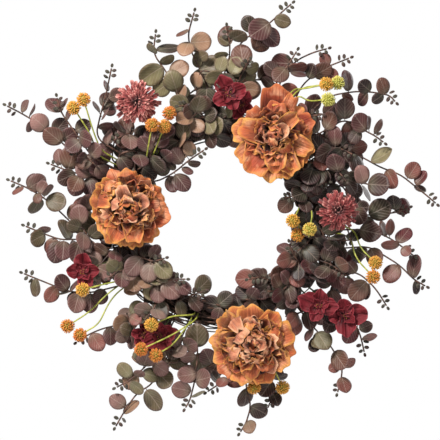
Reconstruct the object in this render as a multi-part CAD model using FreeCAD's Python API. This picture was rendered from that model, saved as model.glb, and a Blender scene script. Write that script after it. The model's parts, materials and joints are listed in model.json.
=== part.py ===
import FreeCAD, Part

import math
import os
from FreeCAD import Vector

# A harvest door wreath: a twig ring with picks of wired silver-dollar eucalyptus, three
# peonies, two chrysanthemums, blossom clusters and pompom sprays pushed into it.
# Millimetres, +Z up, the front faces -Y and the door is the plane y = 0. Layout tables
# give x and z from the ring's centre; the finished origin is the hook's bearing point.

# Ring
drawn_ring_radius = 155.0     # the ring radius that the layout tables below are drawn for
ring_radius = 155.0           # wreath centre to the middle of the twig bundle
core_radius = 13.0            # section of the thick inner vine hoop
twig_radius = 3.6             # section of each outer twig hoop
twig_count = 14
twig_gap = 0.3                # between neighbouring hoops
binding_radius = 0.8          # binding wire
binding_count = 6
binding_turn = 11.0           # degrees from the top to the first binding

# Hanging loop
loop_wire_radius = 1.2
loop_half_width = 12.0
loop_leg = 7.0
eyelet_wire_radius = 0.8
eyelet_spacing = 14.0
eyelet_shank = 9.0
pin_clearance = 0.25          # loop wire in its eyelets

# Flower heads
ball_radius = 4.0             # ball end of a flower stem
socket_clearance = 0.25
socket_wall = 2.75            # calyx round the ball
lip_wall = 1.6                # calyx behind the ball's widest part
flower_stem_radius = 1.9
ball_depth = 70.0             # door plane to the ball's centre
peony_radius = 66.0
mum_radius = 35.0
petal_layer = 2.0             # thickness of a layer of petals
layer_gap = 0.4
peg_radius = 5.0              # the peg that the layers are threaded on
peg_length = 20.0             # ball's centre to the peg's end
calyx_radius = 13.0
mum_calyx_radius = 10.0
calyx_front = 7.0             # ball's centre to the face that the first layer rests on
outer_rise = 19.0             # how far an outer layer's rim stands ahead of its hole
middle_rise = 30.0
mum_rise = 15.0
head_clear_depth = 9.0        # behind the ball's centre, foliage may pass under a head
swing_margin = 6.0            # room kept round a head for its tilt

# Foliage
leaf_thickness = 0.6
leaf_gap = 0.9                # least air between pieces of foliage
leaf_stem_radius = 1.3
bud_radius = 4.6              # the small leaves that close a branch
bud_step = 8.5
pompom_radius = 12.0
pompom_stem_radius = 1.2
blossom_stem_radius = 1.4
hub_radius = 3.0              # centre of a four-petal blossom
root_depth = 5.0              # how far a stem is pushed into the ring
foliage_front = 128.0         # nothing but flower heads reaches further from the door
opening_low = (-34.0, -59.0)  # clear middle of the wreath, lowest x and z
opening_high = (75.0, 62.0)

eyelet_sink = 3.2             # loop's hinge line, outside the twig bundle
eyelet_lean = 45.0            # degrees behind the ring's rim where the eyelets are driven in

bundle_radius = core_radius + 2 * twig_radius + twig_gap
ring_depth = bundle_radius + twig_gap + 2 * binding_radius
hinge_reach = bundle_radius + eyelet_sink
hinge_depth = ring_depth - hinge_reach * math.sin(math.radians(eyelet_lean))
hinge_height = ring_radius + hinge_reach * math.cos(math.radians(eyelet_lean))
hook_height = hinge_height + loop_leg + loop_half_width - loop_wire_radius

FRONT = Vector(0, -1, 0)
ORIGIN = Vector(0, 0, 0)

# Flower heads: name, x, z, size factor
PEONIES = [("left", -149, 18, 1.0), ("upper_right", 87, 136, 1.02), ("bottom", 52, -205, 1.0)]
MUMS = [("upper_left", -136, 190, 1.06), ("right", 190, 13, 0.98)]

# Blossom clusters: name, then for each blossom x, z, depth and the four petals' radii,
# starting at the turn given in degrees.
BLOSSOMS = [
    ("lower_right", [(159, -141, 92, (16, 12, 14, 12), 170), (202, -157, 86, (17, 13, 12, 16), 15)]),
    ("top", [(13, 203, 84, (15, 13, 12, 14), 120), (34, 186, 66, (11, 10, 11, 9), 60)]),
    ("left", [(-226, -86, 66, (14, 12, 13, 12), 100)]),
    ("lower_left", [(-100, -192, 62, (13, 12, 13, 12), 30), (-127, -190, 52, (10, 9, 10, 9), 70)]),
]

# Pompom sprays: name, stems as routes of (x, z, depth) out to each head.
POMPOMS = [
    ("upper_left", [
        [(-203, 105, 62), (-212, 137, 70), (-240, 181, 84)],
        [(-196, 112, 74), (-207, 140, 84), (-223, 194, 97)],
        [(-122, 98, 74), (-117, 124, 98), (-111, 152, 114)],
        [(-112, 102, 80), (-100, 130, 92), (-92, 150, 100)],
        [(-104, 106, 62), (-90, 144, 74), (-84, 172, 88)],
    ]),
    ("upper_right", [
        [(118, 213, 64), (135, 212, 82), (171, 219, 92)],
        [(121, 207, 52), (137, 216, 60), (190, 222, 78)],
        [(125, 204, 72), (143, 192, 86), (174, 194, 98)],
    ]),
    ("right", [
        [(131, 26, 58), (125, 12, 72), (117, -3, 86)],
        [(134, 20, 50), (130, 0, 60), (125, -26, 74)],
        [(143, 26, 66), (149, 8, 84), (144, -17, 96)],
        [(217, -14, 60), (228, -48, 76), (251, -71, 92)],
        [(211, -18, 66), (221, -60, 84), (247, -94, 96)],
    ]),
    ("lower_left", [
        [(-152, -98, 64), (-190, -106, 80), (-225, -115, 88)],
        [(-184, -120, 56), (-215, -152, 60), (-251, -175, 66)],
        [(-178, -126, 64), (-200, -172, 72), (-230, -189, 80)],
        [(-44, -157, 60), (-80, -158, 76), (-113, -172, 90)],
        [(-46, -162, 68), (-80, -186, 84), (-130, -212, 92)],
        [(-50, -168, 60), (-78, -205, 72), (-106, -222, 84)],
        [(38, -180, 46), (46, -240, 50), (54, -276, 58)],
        [(58, -180, 46), (84, -240, 50), (101, -276, 58)],
    ]),
]

# Eucalyptus picks. Each branch: depth at its first and last point, route of (x, z), and its
# leaves as (x, z, radius) or (x, z, radius, turn in degrees towards edge-on).
EUCALYPTUS = {
    "top": [
        (48, 62, [(10, 186), (2, 244), (39, 297), (67, 310), (102, 341), (115, 352)],
         [(44, 323, 13), (64, 310, 18), (79, 299, 16), (59, 294, 12, 30), (72, 277, 14, 40),
          (100, 325, 12, 30)]),
        (60, 84, [(5, 188), (13, 255), (15, 285), (10, 312)],
         [(11, 297, 16, 40), (27, 297, 15, 35), (-10, 307, 13, 45), (1, 268, 10, 60)]),
        (52, 92, [(24, 186), (30, 232), (46, 258)],
         [(34, 265, 17), (24, 250, 17), (31, 234, 11, 30), (61, 257, 11, 45), (31, 215, 14), (51, 212, 14),
          (-6, 215, 12, 30)]),
        (44, 74, [(-8, 186), (-32, 240), (-50, 277), (-54, 302), (-44, 337)],
         [(-57, 279, 14, 20), (-34, 290, 15), (-20, 285, 8), (-61, 302, 10, 60), (-38, 261, 12, 40),
          (-16, 249, 18), (-30, 228, 17), (-24, 203, 16), (-15, 274, 9)]),
        (58, 70, [(-62, 172), (-70, 205), (-92, 245), (-111, 270), (-107, 302)],
         [(-113, 239, 19), (-112, 277, 9, 50), (-85, 279, 17, 55), (-89, 261, 11, 50), (-61, 249, 15, 15),
          (-77, 223, 17), (-97, 215, 14), (-64, 206, 12, 40)]),
        (56, 78, [(-30, 172), (-48, 186), (-68, 184)],
         [(-67, 190, 14), (-41, 176, 14), (-75, 168, 12, 40), (-52, 160, 11, 50)]),
        (54, 66, [(-76, 160), (-44, 164), (-20, 168), (2, 162)],
         [(-62, 146, 12, 30), (-40, 150, 13), (-22, 182, 12, 30), (-18, 152, 13, 20), (-6, 176, 12),
          (-8, 142, 12, 30)]),
    ],
    "upper_left": [
        (36, 40, [(-178, 92), (-239, 113), (-282, 154), (-330, 179), (-352, 186)],
         [(-297, 157, 15), (-316, 151, 8, 60), (-321, 187, 10, 60), (-307, 184, 9, 75), (-261, 158, 13),
          (-275, 136, 16, 35), (-250, 138, 13)]),
        (52, 66, [(-176, 84), (-210, 100), (-233, 133), (-262, 175), (-268, 198)],
         [(-274, 190, 15, 50), (-259, 189, 8, 70), (-226, 151, 12), (-222, 131, 14), (-250, 171, 9, 55),
          (-241, 120, 13)]),
        (62, 70, [(-168, 110), (-206, 132), (-197, 171), (-190, 195), (-184, 221), (-179, 246)],
         [(-187, 218, 9, 60), (-187, 195, 13), (-174, 183, 12), (-169, 206, 12), (-190, 172, 11, 60),
          (-205, 182, 9, 65), (-189, 152, 12, 60), (-186, 134, 13, 50)]),
        (40, 44, [(-182, 70), (-218, 72), (-246, 77), (-280, 90)],
         [(-246, 100, 18), (-253, 69, 14), (-261, 113, 12, 40), (-225, 79, 13), (-203, 84, 15),
          (-239, 52, 15), (-215, 50, 14), (-244, 38, 14)]),
        (44, 82, [(-170, 82), (-108, 62), (-75, 77), (-51, 97), (-28, 112)],
         [(-97, 86, 15), (-95, 107, 10, 50), (-75, 108, 13), (-52, 114, 11), (-74, 134, 13, 30),
          (-40, 90, 8, 55), (-53, 76, 8, 50), (-80, 58, 12), (-59, 53, 15)]),
        (52, 72, [(-140, 132), (-150, 142), (-176, 128)],
         [(-157, 131, 15), (-160, 152, 12, 40), (-128, 139, 13), (-180, 104, 14), (-158, 104, 14)]),
        (60, 76, [(-172, 104), (-150, 112), (-126, 110), (-104, 118)],
         [(-158, 92, 13), (-140, 124, 14, 20), (-134, 94, 13, 20), (-116, 128, 13, 30), (-112, 98, 12)]),
        (58, 62, [(-180, 84), (-200, 98), (-222, 112), (-240, 106)],
         [(-202, 116, 13, 30), (-224, 94, 13), (-196, 78, 12, 30), (-236, 124, 12, 40)]),
    ],
    "left": [
        (38, 30, [(-178, -24), (-197, -14), (-243, -10), (-264, 11), (-289, 33), (-318, 51), (-347, 63)],
         [(-305, 59, 15), (-307, 76, 11, 45), (-290, 58, 10, 30), (-333, 47, 9, 55), (-303, 36, 8),
          (-310, 14, 14, 55), (-284, 50, 11, 70), (-272, 28, 16), (-241, 11, 13), (-226, -6, 19),
          (-218, 18, 11, 30)]),
        (52, 44, [(-186, -50), (-223, -33), (-264, -34), (-289, -25), (-321, -12)],
         [(-300, -31, 14, 25), (-291, -17, 10, 60), (-256, -19, 16, 50), (-271, -59, 16), (-277, -45, 13),
          (-259, -51, 14), (-243, -49, 13, 60), (-238, -66, 15)]),
        (50, 50, [(-170, -76), (-205, -80), (-238, -90)],
         [(-251, -80, 9, 45), (-264, -74, 9, 50), (-207, -68, 12), (-175, -74, 13), (-159, -58, 12),
          (-207, -106, 13), (-187, -97, 12, 40)]),
        (66, 80, [(-168, -44), (-188, -62), (-204, -84), (-214, -108)],
         [(-196, -50, 12, 30), (-188, -86, 13), (-222, -92, 12, 30), (-228, -62, 12, 40),
          (-172, -60, 12, 20)]),
        (34, 34, [(-160, -108), (-215, -122), (-250, -120), (-284, -107), (-310, -96), (-325, -90)],
         [(-303, -112, 13, 50), (-279, -123, 13, 35), (-262, -106, 14), (-258, -123, 11, 60), (-243, -130, 9),
          (-243, -111, 9, 65), (-238, -138, 15), (-215, -138, 14), (-198, -127, 12)]),
    ],
    "lower_left": [
        (36, 36, [(-136, -148), (-166, -174), (-194, -180), (-218, -190), (-236, -202)],
         [(-205, -202, 14), (-182, -192, 13), (-159, -191, 14, 60), (-148, -169, 11), (-156, -156, 11, 40),
          (-136, -165, 13, 55)]),
        (48, 52, [(-92, -180), (-100, -207), (-133, -244), (-153, -264), (-171, -276)],
         [(-123, -231, 15), (-138, -231, 11, 55), (-161, -244, 13, 20), (-148, -266, 14), (-134, -253, 9, 45),
          (-116, -256, 13, 45), (-133, -282, 12, 55)]),
        (38, 40, [(-62, -192), (-92, -231), (-113, -272), (-138, -286), (-157, -313), (-173, -341)],
         [(-174, -298, 13), (-149, -310, 14, 40), (-108, -300, 17, 30), (-92, -264, 15), (-95, -240, 13, 30),
          (-72, -232, 15)]),
        (52, 58, [(-40, -190), (-38, -218), (-42, -262), (-51, -297), (-58, -309)],
         [(-39, -192, 18), (-56, -226, 11, 40), (-33, -235, 17), (-56, -256, 14), (-64, -279, 14),
          (-28, -261, 15), (-39, -286, 11, 75), (-75, -199, 11, 65)]),
        (62, 86, [(-152, -62), (-130, -62), (-110, -70), (-92, -64)],
         [(-141, -76, 16), (-118, -90, 14), (-92, -80, 15), (-126, -48, 12, 30),
          (-108, -54, 11, 40)]),
        (62, 84, [(-128, -104), (-104, -106), (-80, -98), (-58, -98)],
         [(-115, -118, 14), (-82, -114, 16, 20), (-96, -92, 13, 30), (-102, -132, 13), (-62, -118, 13, 30),
          (-54, -82, 16)]),
        (64, 76, [(-146, -86), (-166, -84), (-184, -96)],
         [(-143, -108, 15), (-162, -100, 13), (-176, -72, 12), (-188, -82, 11, 30), (-164, -122, 12, 30)]),
        (60, 72, [(-74, -136), (-52, -126), (-28, -118)],
         [(-26, -106, 15, 30), (-42, -138, 12, 30), (-66, -146, 12, 40)]),
        (64, 78, [(-104, -134), (-112, -150), (-124, -164)],
         [(-100, -148, 15), (-126, -148, 13, 30), (-112, -172, 13, 30)]),
    ],
    "bottom": [
        (30, 34, [(44, -190), (40, -272), (50, -308), (41, -337), (32, -351)],
         [(23, -269, 13, 40), (41, -295, 15, 35), (61, -315, 14), (47, -341, 11, 30)]),
        (34, 38, [(70, -190), (84, -272), (85, -294), (77, -311)],
         [(75, -279, 14), (89, -295, 11), (116, -282, 10, 40), (115, -258, 11, 50), (102, -254, 9)]),
        (44, 40, [(10, -190), (16, -230), (16, -257), (-2, -271), (-22, -284)],
         [(3, -269, 10, 50), (-18, -252, 10, 50), (26, -250, 9, 40)]),
    ],
    "lower_right": [
        (36, 40, [(130, -150), (159, -186), (182, -210), (200, -244), (198, -264), (192, -285)],
         [(166, -198, 16), (134, -202, 10, 55), (133, -225, 9), (144, -220, 12, 45), (195, -231, 16, 20),
          (182, -246, 8), (219, -233, 10, 45), (202, -272, 12)]),
        (52, 54, [(142, -124), (195, -153), (225, -169), (231, -190), (235, -218)],
         [(212, -187, 15), (243, -194, 11, 35), (248, -172, 10), (228, -158, 11, 40), (243, -153, 9, 55),
          (246, -143, 10, 70), (178, -172, 13, 30)]),
        (60, 62, [(152, -88), (203, -84), (228, -90), (253, -113), (271, -142)],
         [(225, -116, 17), (190, -97, 15, 25), (192, -48, 14, 50), (215, -80, 10), (154, -84, 14, 60),
          (148, -61, 17), (149, -38, 15), (241, -118, 12, 50), (172, -66, 13, 35), (207, -62, 11, 40)]),
        (38, 42, [(170, -50), (244, -45), (272, -62), (294, -76), (318, -100), (336, -110)],
         [(282, -89, 15, 25), (318, -79, 17, 55), (321, -112, 10, 50), (253, -62, 14), (229, -58, 12, 40)]),
        (50, 52, [(182, -18), (244, -17), (277, -31), (298, -46), (316, -60)],
         [(244, -21, 16), (267, -17, 12, 40), (279, -43, 13, 55), (300, -28, 14, 45), (281, -5, 12, 55),
          (303, -52, 8)]),
        (62, 86, [(96, -130), (84, -102), (64, -94), (46, -98)],
         [(28, -93, 15), (62, -96, 15), (26, -126, 13, 20), (50, -120, 13), (89, -116, 13),
          (110, -110, 12, 40), (72, -78, 6)]),
        (70, 84, [(128, -72), (118, -58), (112, -40)],
         [(102, -41, 11, 40), (89, -46, 11, 55), (104, -66, 13), (98, -82, 10, 40), (126, -92, 12, 30)]),
        (68, 80, [(156, -66), (180, -74), (204, -92)],
         [(176, -58, 13), (196, -74, 14, 20), (166, -88, 13, 30), (186, -106, 13)]),
        (58, 72, [(122, -100), (98, -118), (76, -118)],
         [(112, -122, 13, 30), (90, -102, 12, 20), (74, -134, 12, 40), (106, -96, 11, 40)]),
    ],
    "right": [
        (40, 46, [(186, 96), (212, 113), (264, 84), (294, 74), (338, 39), (353, 26)],
         [(315, 80, 13), (336, 74, 12, 40), (328, 48, 10, 45), (280, 67, 15, 45), (264, 102, 17, 55),
          (223, 92, 16, 30)]),
        (54, 56, [(182, 76), (210, 62), (240, 58), (262, 50)],
         [(230, 72, 14, 15), (257, 56, 18), (236, 39, 12, 50), (200, 67, 14, 30)]),
        (36, 38, [(190, 6), (232, 6), (269, 8), (294, 12), (308, 18)],
         [(282, 39, 12), (299, 20, 14), (261, 15, 18), (243, -8, 12, 40), (222, 36, 12, 40)]),
        (58, 76, [(136, 100), (160, 92), (188, 84), (204, 62)],
         [(171, 113, 17), (187, 92, 15), (159, 70, 14), (138, 64, 15), (129, 46, 13, 30), (162, 40, 13)]),
        (60, 74, [(134, 44), (118, 38), (104, 34)],
         [(103, 25, 13), (110, 10, 9, 50), (136, 14, 12, 40)]),
        (62, 70, [(166, -20), (190, -32), (214, -34)],
         [(172, -8, 12, 40), (204, -22, 14, 50), (180, -44, 13), (198, -52, 12, 30)]),
        (64, 74, [(142, 74), (158, 60), (174, 60)],
         [(150, 88, 13, 20), (166, 44, 13), (146, 46, 12, 40), (172, 76, 12, 40)]),
    ],
    "upper_right": [
        (46, 50, [(128, 140), (150, 180), (179, 203), (223, 210), (253, 208), (277, 203), (286, 193)],
         [(236, 217, 12, 20), (235, 199, 12, 45), (266, 217, 13), (259, 199, 9, 40), (207, 226, 15, 45),
          (208, 202, 9, 50)]),
        (56, 58, [(140, 128), (203, 164), (228, 149), (253, 136), (266, 126)],
         [(203, 186, 15), (190, 174, 11, 40), (228, 157, 15), (212, 146, 14), (257, 151, 12, 40),
          (246, 164, 10, 75), (179, 160, 14, 30), (148, 156, 12), (214, 128, 12, 35)]),
        (36, 36, [(110, 152), (130, 220), (171, 249), (195, 259), (211, 265)],
         [(172, 262, 10), (166, 243, 15), (183, 235, 11), (149, 243, 12, 30)]),
        (44, 44, [(96, 160), (113, 228), (134, 256), (157, 271), (174, 280)],
         [(125, 248, 14, 40), (103, 257, 17), (138, 231, 12, 50), (150, 226, 9), (143, 204, 13, 30),
          (150, 186, 12, 40)]),
        (50, 52, [(80, 168), (98, 226), (114, 252), (124, 275)],
         [(98, 238, 14), (80, 248, 13), (76, 231, 10, 40), (64, 228, 10, 40)]),
        (60, 72, [(146, 112), (172, 126), (194, 120), (214, 106)],
         [(152, 130, 14), (170, 108, 15, 20), (186, 138, 14, 30), (158, 98, 12), (186, 104, 14, 40),
          (206, 128, 13), (140, 112, 12, 30)]),
        (66, 78, [(128, 158), (146, 170), (164, 170)],
         [(134, 176, 12, 40), (152, 158, 13, 20), (150, 188, 11, 50)]),
    ],
}

# Short sprays laid along the ring between the picks: the pick they are tied in with, and
# for each the degrees clockwise from the top where it starts, its reach from the wreath's
# centre there, how far it drifts out as it runs on, and its depth.
COVER = {
    "top": [(-38, 160, -8, 56), (-27, 150, 12, 56), (-18, 160, -10, 56),
            (-8, 150, 10, 56), (0, 160, -8, 56), (-22, 198, 8, 40), (-6, 206, 10, 44), (6, 228, 4, 34),
            (-4, 246, -6, 54)],
    "upper_left": [(292, 150, 10, 56), (300, 160, -8, 56), (308, 152, 8, 56), (282, 196, 8, 38),
                   (296, 204, 6, 34), (308, 196, 8, 46)],
    "upper_right": [(34, 222, 8, 36), (46, 210, 6, 40), (52, 232, 4, 30)],
    "right": [(55, 150, 10, 56), (62, 160, -8, 56), (70, 150, 6, 56), (78, 160, -10, 56),
              (87, 150, 10, 56), (96, 160, -8, 56), (104, 150, 12, 56), (60, 196, 8, 44),
              (74, 206, 6, 38), (92, 204, 8, 34)],
    "lower_right": [(112, 160, -8, 56), (119, 150, 10, 56), (127, 160, -10, 56), (136, 150, 10, 56),
                    (146, 156, -6, 56), (106, 200, 8, 40), (120, 206, 8, 44), (134, 210, -6, 36)],
    "bottom": [(166, 152, -4, 52), (178, 226, 10, 36)],
    "lower_left": [(216, 152, 8, 56), (224, 158, -8, 56), (232, 150, 10, 56), (192, 206, 12, 40),
                   (206, 214, 8, 34), (198, 244, 8, 48), (214, 236, -6, 44)],
    "left": [(238, 160, -8, 56), (246, 150, 10, 56), (250, 158, -8, 56), (242, 200, 8, 38),
             (256, 208, 8, 44), (262, 204, 6, 30)],
}
cover_span = 46.0             # length of ring that one spray runs along
cover_leaf_radius = 13.0

# ------------------------------------------------------------------ placing and checking

def on_wreath(x, z):
    """A drawn place, moved out or in with the ring."""
    reach = math.hypot(x, z)
    grown = (reach + ring_radius - drawn_ring_radius) / reach
    return x * grown, z * grown


def point(x, z, depth):
    """A point at a drawn place, a depth in front of the door."""
    px, pz = on_wreath(x, z)
    return Vector(px, -depth, pz)


def ring_middle(p):
    """The point of the bundle's middle line that is nearest to p."""
    reach = math.hypot(p.x, p.z)
    return Vector(p.x * ring_radius / reach, -ring_depth, p.z * ring_radius / reach)


def root_below(p):
    """Where a stem that heads for p leaves the ring, a little way inside the bundle."""
    middle = ring_middle(p)
    outward = p - middle
    outward.normalize()
    return middle + outward * (bundle_radius - root_depth)


def unit(v):
    return v * (1.0 / v.Length)


def steady(number):
    """An even spread of values in 0..1, the same on every run."""
    return (number * 0.6180339887) % 1.0


widest_blade = 48.0           # farthest that any blade reaches from its centre


class Plate:
    """A thin round blade that narrows to the point where it is held."""

    def __init__(self, hold, centre, normal, radius):
        self.hold = hold
        self.centre = centre
        self.normal = normal
        self.radius = radius
        self.axis = unit(centre - hold)
        self.side = self.normal.cross(self.axis)
        self.reach = (centre - hold).Length
        self.slope = math.asin(min(radius / self.reach, 0.98))
        self.flank = math.sqrt(max(self.reach ** 2 - radius ** 2, 0.01))
        self.outline = self.edge_points()

    def edge_points(self):
        """The blade's edge as a row of points, from the hold all the way round."""
        points = [self.hold]
        open_angle = math.pi - (math.pi / 2 - self.slope)
        for i in range(13):
            turn = -open_angle + 2 * open_angle * i / 12
            arm = self.axis * (self.radius * math.cos(turn)) + self.side * (self.radius * math.sin(turn))
            points.append(self.centre + arm)
        first = self.hold + (points[1] - self.hold) * 0.5
        last = self.hold + (points[-1] - self.hold) * 0.5
        return [self.hold, first] + points[1:] + [last]

    def height(self, p):
        return (p - self.centre).dot(self.normal)

    def beside(self, p):
        """How far outside the blade's outline p lies in the blade's plane; negative inside."""
        along = (p - self.hold).dot(self.axis)
        across = abs((p - self.hold).dot(self.side))
        on_flank = along * math.cos(self.slope) + across * math.sin(self.slope)
        if on_flank < 0:
            return math.hypot(along, across)
        if on_flank < self.flank:
            return across * math.cos(self.slope) - along * math.sin(self.slope)
        return math.hypot(along - self.reach, across) - self.radius

    def distance(self, p):
        return math.hypot(self.height(p), max(self.beside(p), 0.0))

    def solid(self):
        """The blade: an arc and two straight edges that touch it, made thick."""
        one = self.outline[2]
        other = self.outline[-2]
        far = self.centre + self.axis * self.radius
        edges = [Part.LineSegment(self.hold, one).toShape(), Part.Arc(one, far, other).toShape(),
                 Part.LineSegment(other, self.hold).toShape()]
        face = Part.Face(Part.Wire(edges))
        face.translate(self.normal * (-leaf_thickness / 2))
        return face.extrude(self.normal * leaf_thickness)


def edge_meets(blade, other):
    """Whether one blade's edge comes too near the other blade or passes through it."""
    near = leaf_gap + leaf_thickness
    heights = [other.height(p) for p in blade.outline]
    for i, p in enumerate(blade.outline):
        if abs(heights[i]) < near and other.beside(p) < near:
            return True
        if heights[i] * heights[i - 1] < 0:
            start = blade.outline[i - 1]
            share = heights[i - 1] / (heights[i - 1] - heights[i])
            if other.beside(start + (p - start) * share) < near:
                return True
    return False


def plates_meet(a, b):
    room = (a.centre - b.centre).Length - a.radius - b.radius
    if room > max(a.reach - a.radius, 0) + max(b.reach - b.radius, 0) + leaf_gap:
        return False
    return edge_meets(a, b) or edge_meets(b, a)


class Layout:
    """What has been placed so far, and whether a new blade or stem is clear of it."""

    def __init__(self):
        self.heads = []       # x, z, reach and the depth behind which a piece is clear
        self.balls = []       # centre and radius
        self.plates = []
        self.plate_cells = {}  # cell: [blade]
        self.stem_points = {}  # cell: [(point, radius, stem number)]
        self.stem_count = 0
        self.crowded = 0

    def add_plate(self, plate):
        self.plates.append(plate)
        cell = (int(plate.centre.x // 25), int(plate.centre.z // 25))
        self.plate_cells.setdefault(cell, []).append(plate)

    def plates_near(self, plate):
        p = plate.centre
        reach = plate.radius + widest_blade
        found = []
        for i in range(int((p.x - reach) // 25), int((p.x + reach) // 25) + 1):
            for j in range(int((p.z - reach) // 25), int((p.z + reach) // 25) + 1):
                found.extend(self.plate_cells.get((i, j), ()))
        return found

    def add_stem(self, points, radius):
        self.stem_count += 1
        for start, end in zip(points, points[1:]):
            steps = int((end - start).Length / 1.6) + 1
            for i in range(steps + 1):
                p = start + (end - start) * (i / steps)
                cell = (int(p.x // 25), int(p.z // 25))
                self.stem_points.setdefault(cell, []).append((p, radius, self.stem_count))
        return self.stem_count

    def stems_near(self, p, reach):
        found = []
        for i in range(int((p.x - reach) // 25), int((p.x + reach) // 25) + 1):
            for j in range(int((p.z - reach) // 25), int((p.z + reach) // 25) + 1):
                found.extend(self.stem_points.get((i, j), ()))
        return found

    def out_of_bounds(self, p, margin):
        if p.y > -2.5 or p.y < -foliage_front:
            return True
        if opening_low[0] < p.x < opening_high[0] and opening_low[1] < p.z < opening_high[1]:
            return True
        if (p - ring_middle(p)).Length < bundle_radius + 2.0 + margin:
            return True
        if abs(p.x) < loop_half_width + 4 and p.y > -hinge_depth - 6 and p.z > hinge_height - 8:
            return p.z < hook_height + 10
        for x, z, reach, clear_depth in self.heads:
            if -p.y > clear_depth - margin and math.hypot(p.x - x, p.z - z) < reach + margin:
                return True
        return False

    def is_clear(self, plate, own_stem):
        """Whether a blade touches nothing that is placed and stays inside its bounds."""
        for p in [plate.centre] + plate.outline[1:]:
            if self.out_of_bounds(p, leaf_gap):
                return False
        for p, radius, stem in self.stems_near(plate.centre, plate.reach + 3):
            if stem == own_stem and (p - plate.hold).Length < 5.0:
                continue
            if plate.distance(p) < radius + 0.7:
                return False
        for centre, radius in self.balls:
            if plate.distance(centre) < radius + leaf_gap:
                return False
        for other in self.plates_near(plate):
            if plates_meet(plate, other):
                return False
        return True

    def stem_faults(self, points, radius):
        faults = 0
        for start, end in zip(points, points[1:]):
            steps = max(int((end - start).Length / 3), 1)
            for i in range(steps + 1):
                p = start + (end - start) * (i / steps)
                near_root = (p - points[0]).Length < root_depth + 4
                if not near_root and self.out_of_bounds(p, radius):
                    faults += 1
                for other, other_radius, _ in self.stems_near(p, 6):
                    if (p - other).Length < radius + other_radius + 1.2:
                        faults += 1
                for centre, ball in self.balls:
                    if (p - centre).Length < ball + radius + leaf_gap:
                        faults += 1
                for plate in self.plates:
                    if plate.distance(p) < radius + leaf_gap:
                        faults += 1
        return faults


def bend(before, corner, after):
    """Five points round the arc that joins two runs, or nothing where they are in line."""
    back = unit(before - corner)
    on = unit(after - corner)
    half = back.getAngle(on) / 2
    if math.pi / 2 - half < 0.02:
        return None
    room = 0.45 * min((before - corner).Length, (after - corner).Length)
    inward = unit(back + on)
    radius = room * math.tan(half)
    centre = corner + inward * (radius / math.sin(half))
    entry = corner + back * room
    leave = corner + on * room
    middle = centre - inward * radius
    first = centre + unit(entry + middle - centre * 2) * radius
    second = centre + unit(leave + middle - centre * 2) * radius
    return entry, first, middle, second, leave


def rounded(points):
    """A route's line with its bends, as its tube runs."""
    line = [points[0]]
    for before, corner, after in zip(points, points[1:], points[2:]):
        line.extend(bend(before, corner, after) or ())
    return line + [points[-1]]


def clear_route(layout, drawn, radius):
    """The drawn route, rooted in the ring and set back or forward until it is clear."""
    best = None
    for shift in (0, 4, -4, 8, -8, 12, -12, 17, -17, 22, -22, 28):
        for swing in (0, 6, -6, 12, -12):
            points = []
            last = len(drawn) - 1
            for i, (x, z, depth) in enumerate(drawn):
                # The first point slides round the ring, and the far end keeps its place.
                share = 1 - i / last
                px = x - swing * share * z / drawn_ring_radius
                pz = z + swing * share * x / drawn_ring_radius
                points.append(point(px, pz, max(depth + shift, 6)))
            points.insert(0, root_below(points[0]))
            faults = layout.stem_faults(rounded(points), radius)
            if best is None or faults < best[0]:
                best = (faults, points)
            if faults == 0:
                return points
    layout.crowded += 1
    return best[1]


def walk(points, step):
    """Points along a route at even steps."""
    found = []
    for start, end in zip(points, points[1:]):
        length = (end - start).Length
        count = max(int(length / step), 1)
        for i in range(count):
            found.append(start + (end - start) * (i / count))
    return found


def within_reach(holds, x, z, radius):
    """A leaf's drawn place, drawn in if it is too far out for its short stalk."""
    px, pz = on_wreath(x, z)
    nearest = min(holds, key=lambda hold: math.hypot(px - hold.x, pz - hold.z))
    flat = math.hypot(px - nearest.x, pz - nearest.z)
    most = 1.3 * radius
    if flat <= most:
        return px, pz
    return nearest.x + (px - nearest.x) * most / flat, nearest.z + (pz - nearest.z) * most / flat


def facing_front(axis):
    """The direction square to an axis that faces the front most nearly."""
    facing = FRONT - axis * FRONT.dot(axis)
    return unit(facing) if facing.Length > 0.2 else None


def leaf_choices(holds, px, pz, radius, turn, number):
    """Blades of one size at one place: the nearest holds first, then more tilt and twist."""
    ranked = sorted(holds, key=lambda hold: abs(math.hypot(px - hold.x, pz - hold.z) - 1.06 * radius))
    side = 1 if steady(number * 7) < 0.5 else -1
    twist = 16 * (steady(number * 3) - 0.5)
    for hold in ranked[:6]:
        for lift in (0.15, 0.4, -0.15, 0.7, -0.4, 1.0, -0.7, 1.3):
            centre = Vector(px, hold.y - lift * radius, pz)
            reach = (centre - hold).Length
            if reach < 1.03 * radius or reach > 1.75 * radius:
                continue
            axis = unit(centre - hold)
            facing = facing_front(axis)
            if facing is None:
                continue
            across = facing.cross(axis)
            for extra in (0, 16, -16):
                bend = math.radians(side * (turn + extra + twist))
                normal = facing * math.cos(bend) + across * math.sin(bend)
                yield Plate(hold, centre, normal, radius)


def places_near(holds, x, z, radius, number):
    """A leaf's drawn place, then places on rings round it."""
    px, pz = within_reach(holds, x, z, radius)
    yield px, pz
    for nudge in (4, 8, 13, 19):
        for k in range(6):
            angle = 2 * math.pi * (k / 6 + steady(number))
            yield px + nudge * math.cos(angle), pz + nudge * math.sin(angle)


def places_along(holds, x, z, radius):
    """Places on every side of the whole branch, the nearest to a leaf's drawn place first."""
    px, pz = on_wreath(x, z)
    for hold in sorted(holds, key=lambda hold: math.hypot(px - hold.x, pz - hold.z)):
        for k in range(8):
            angle = 2 * math.pi * k / 8
            yield hold.x + 1.06 * radius * math.cos(angle), hold.z + 1.06 * radius * math.sin(angle)


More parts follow.
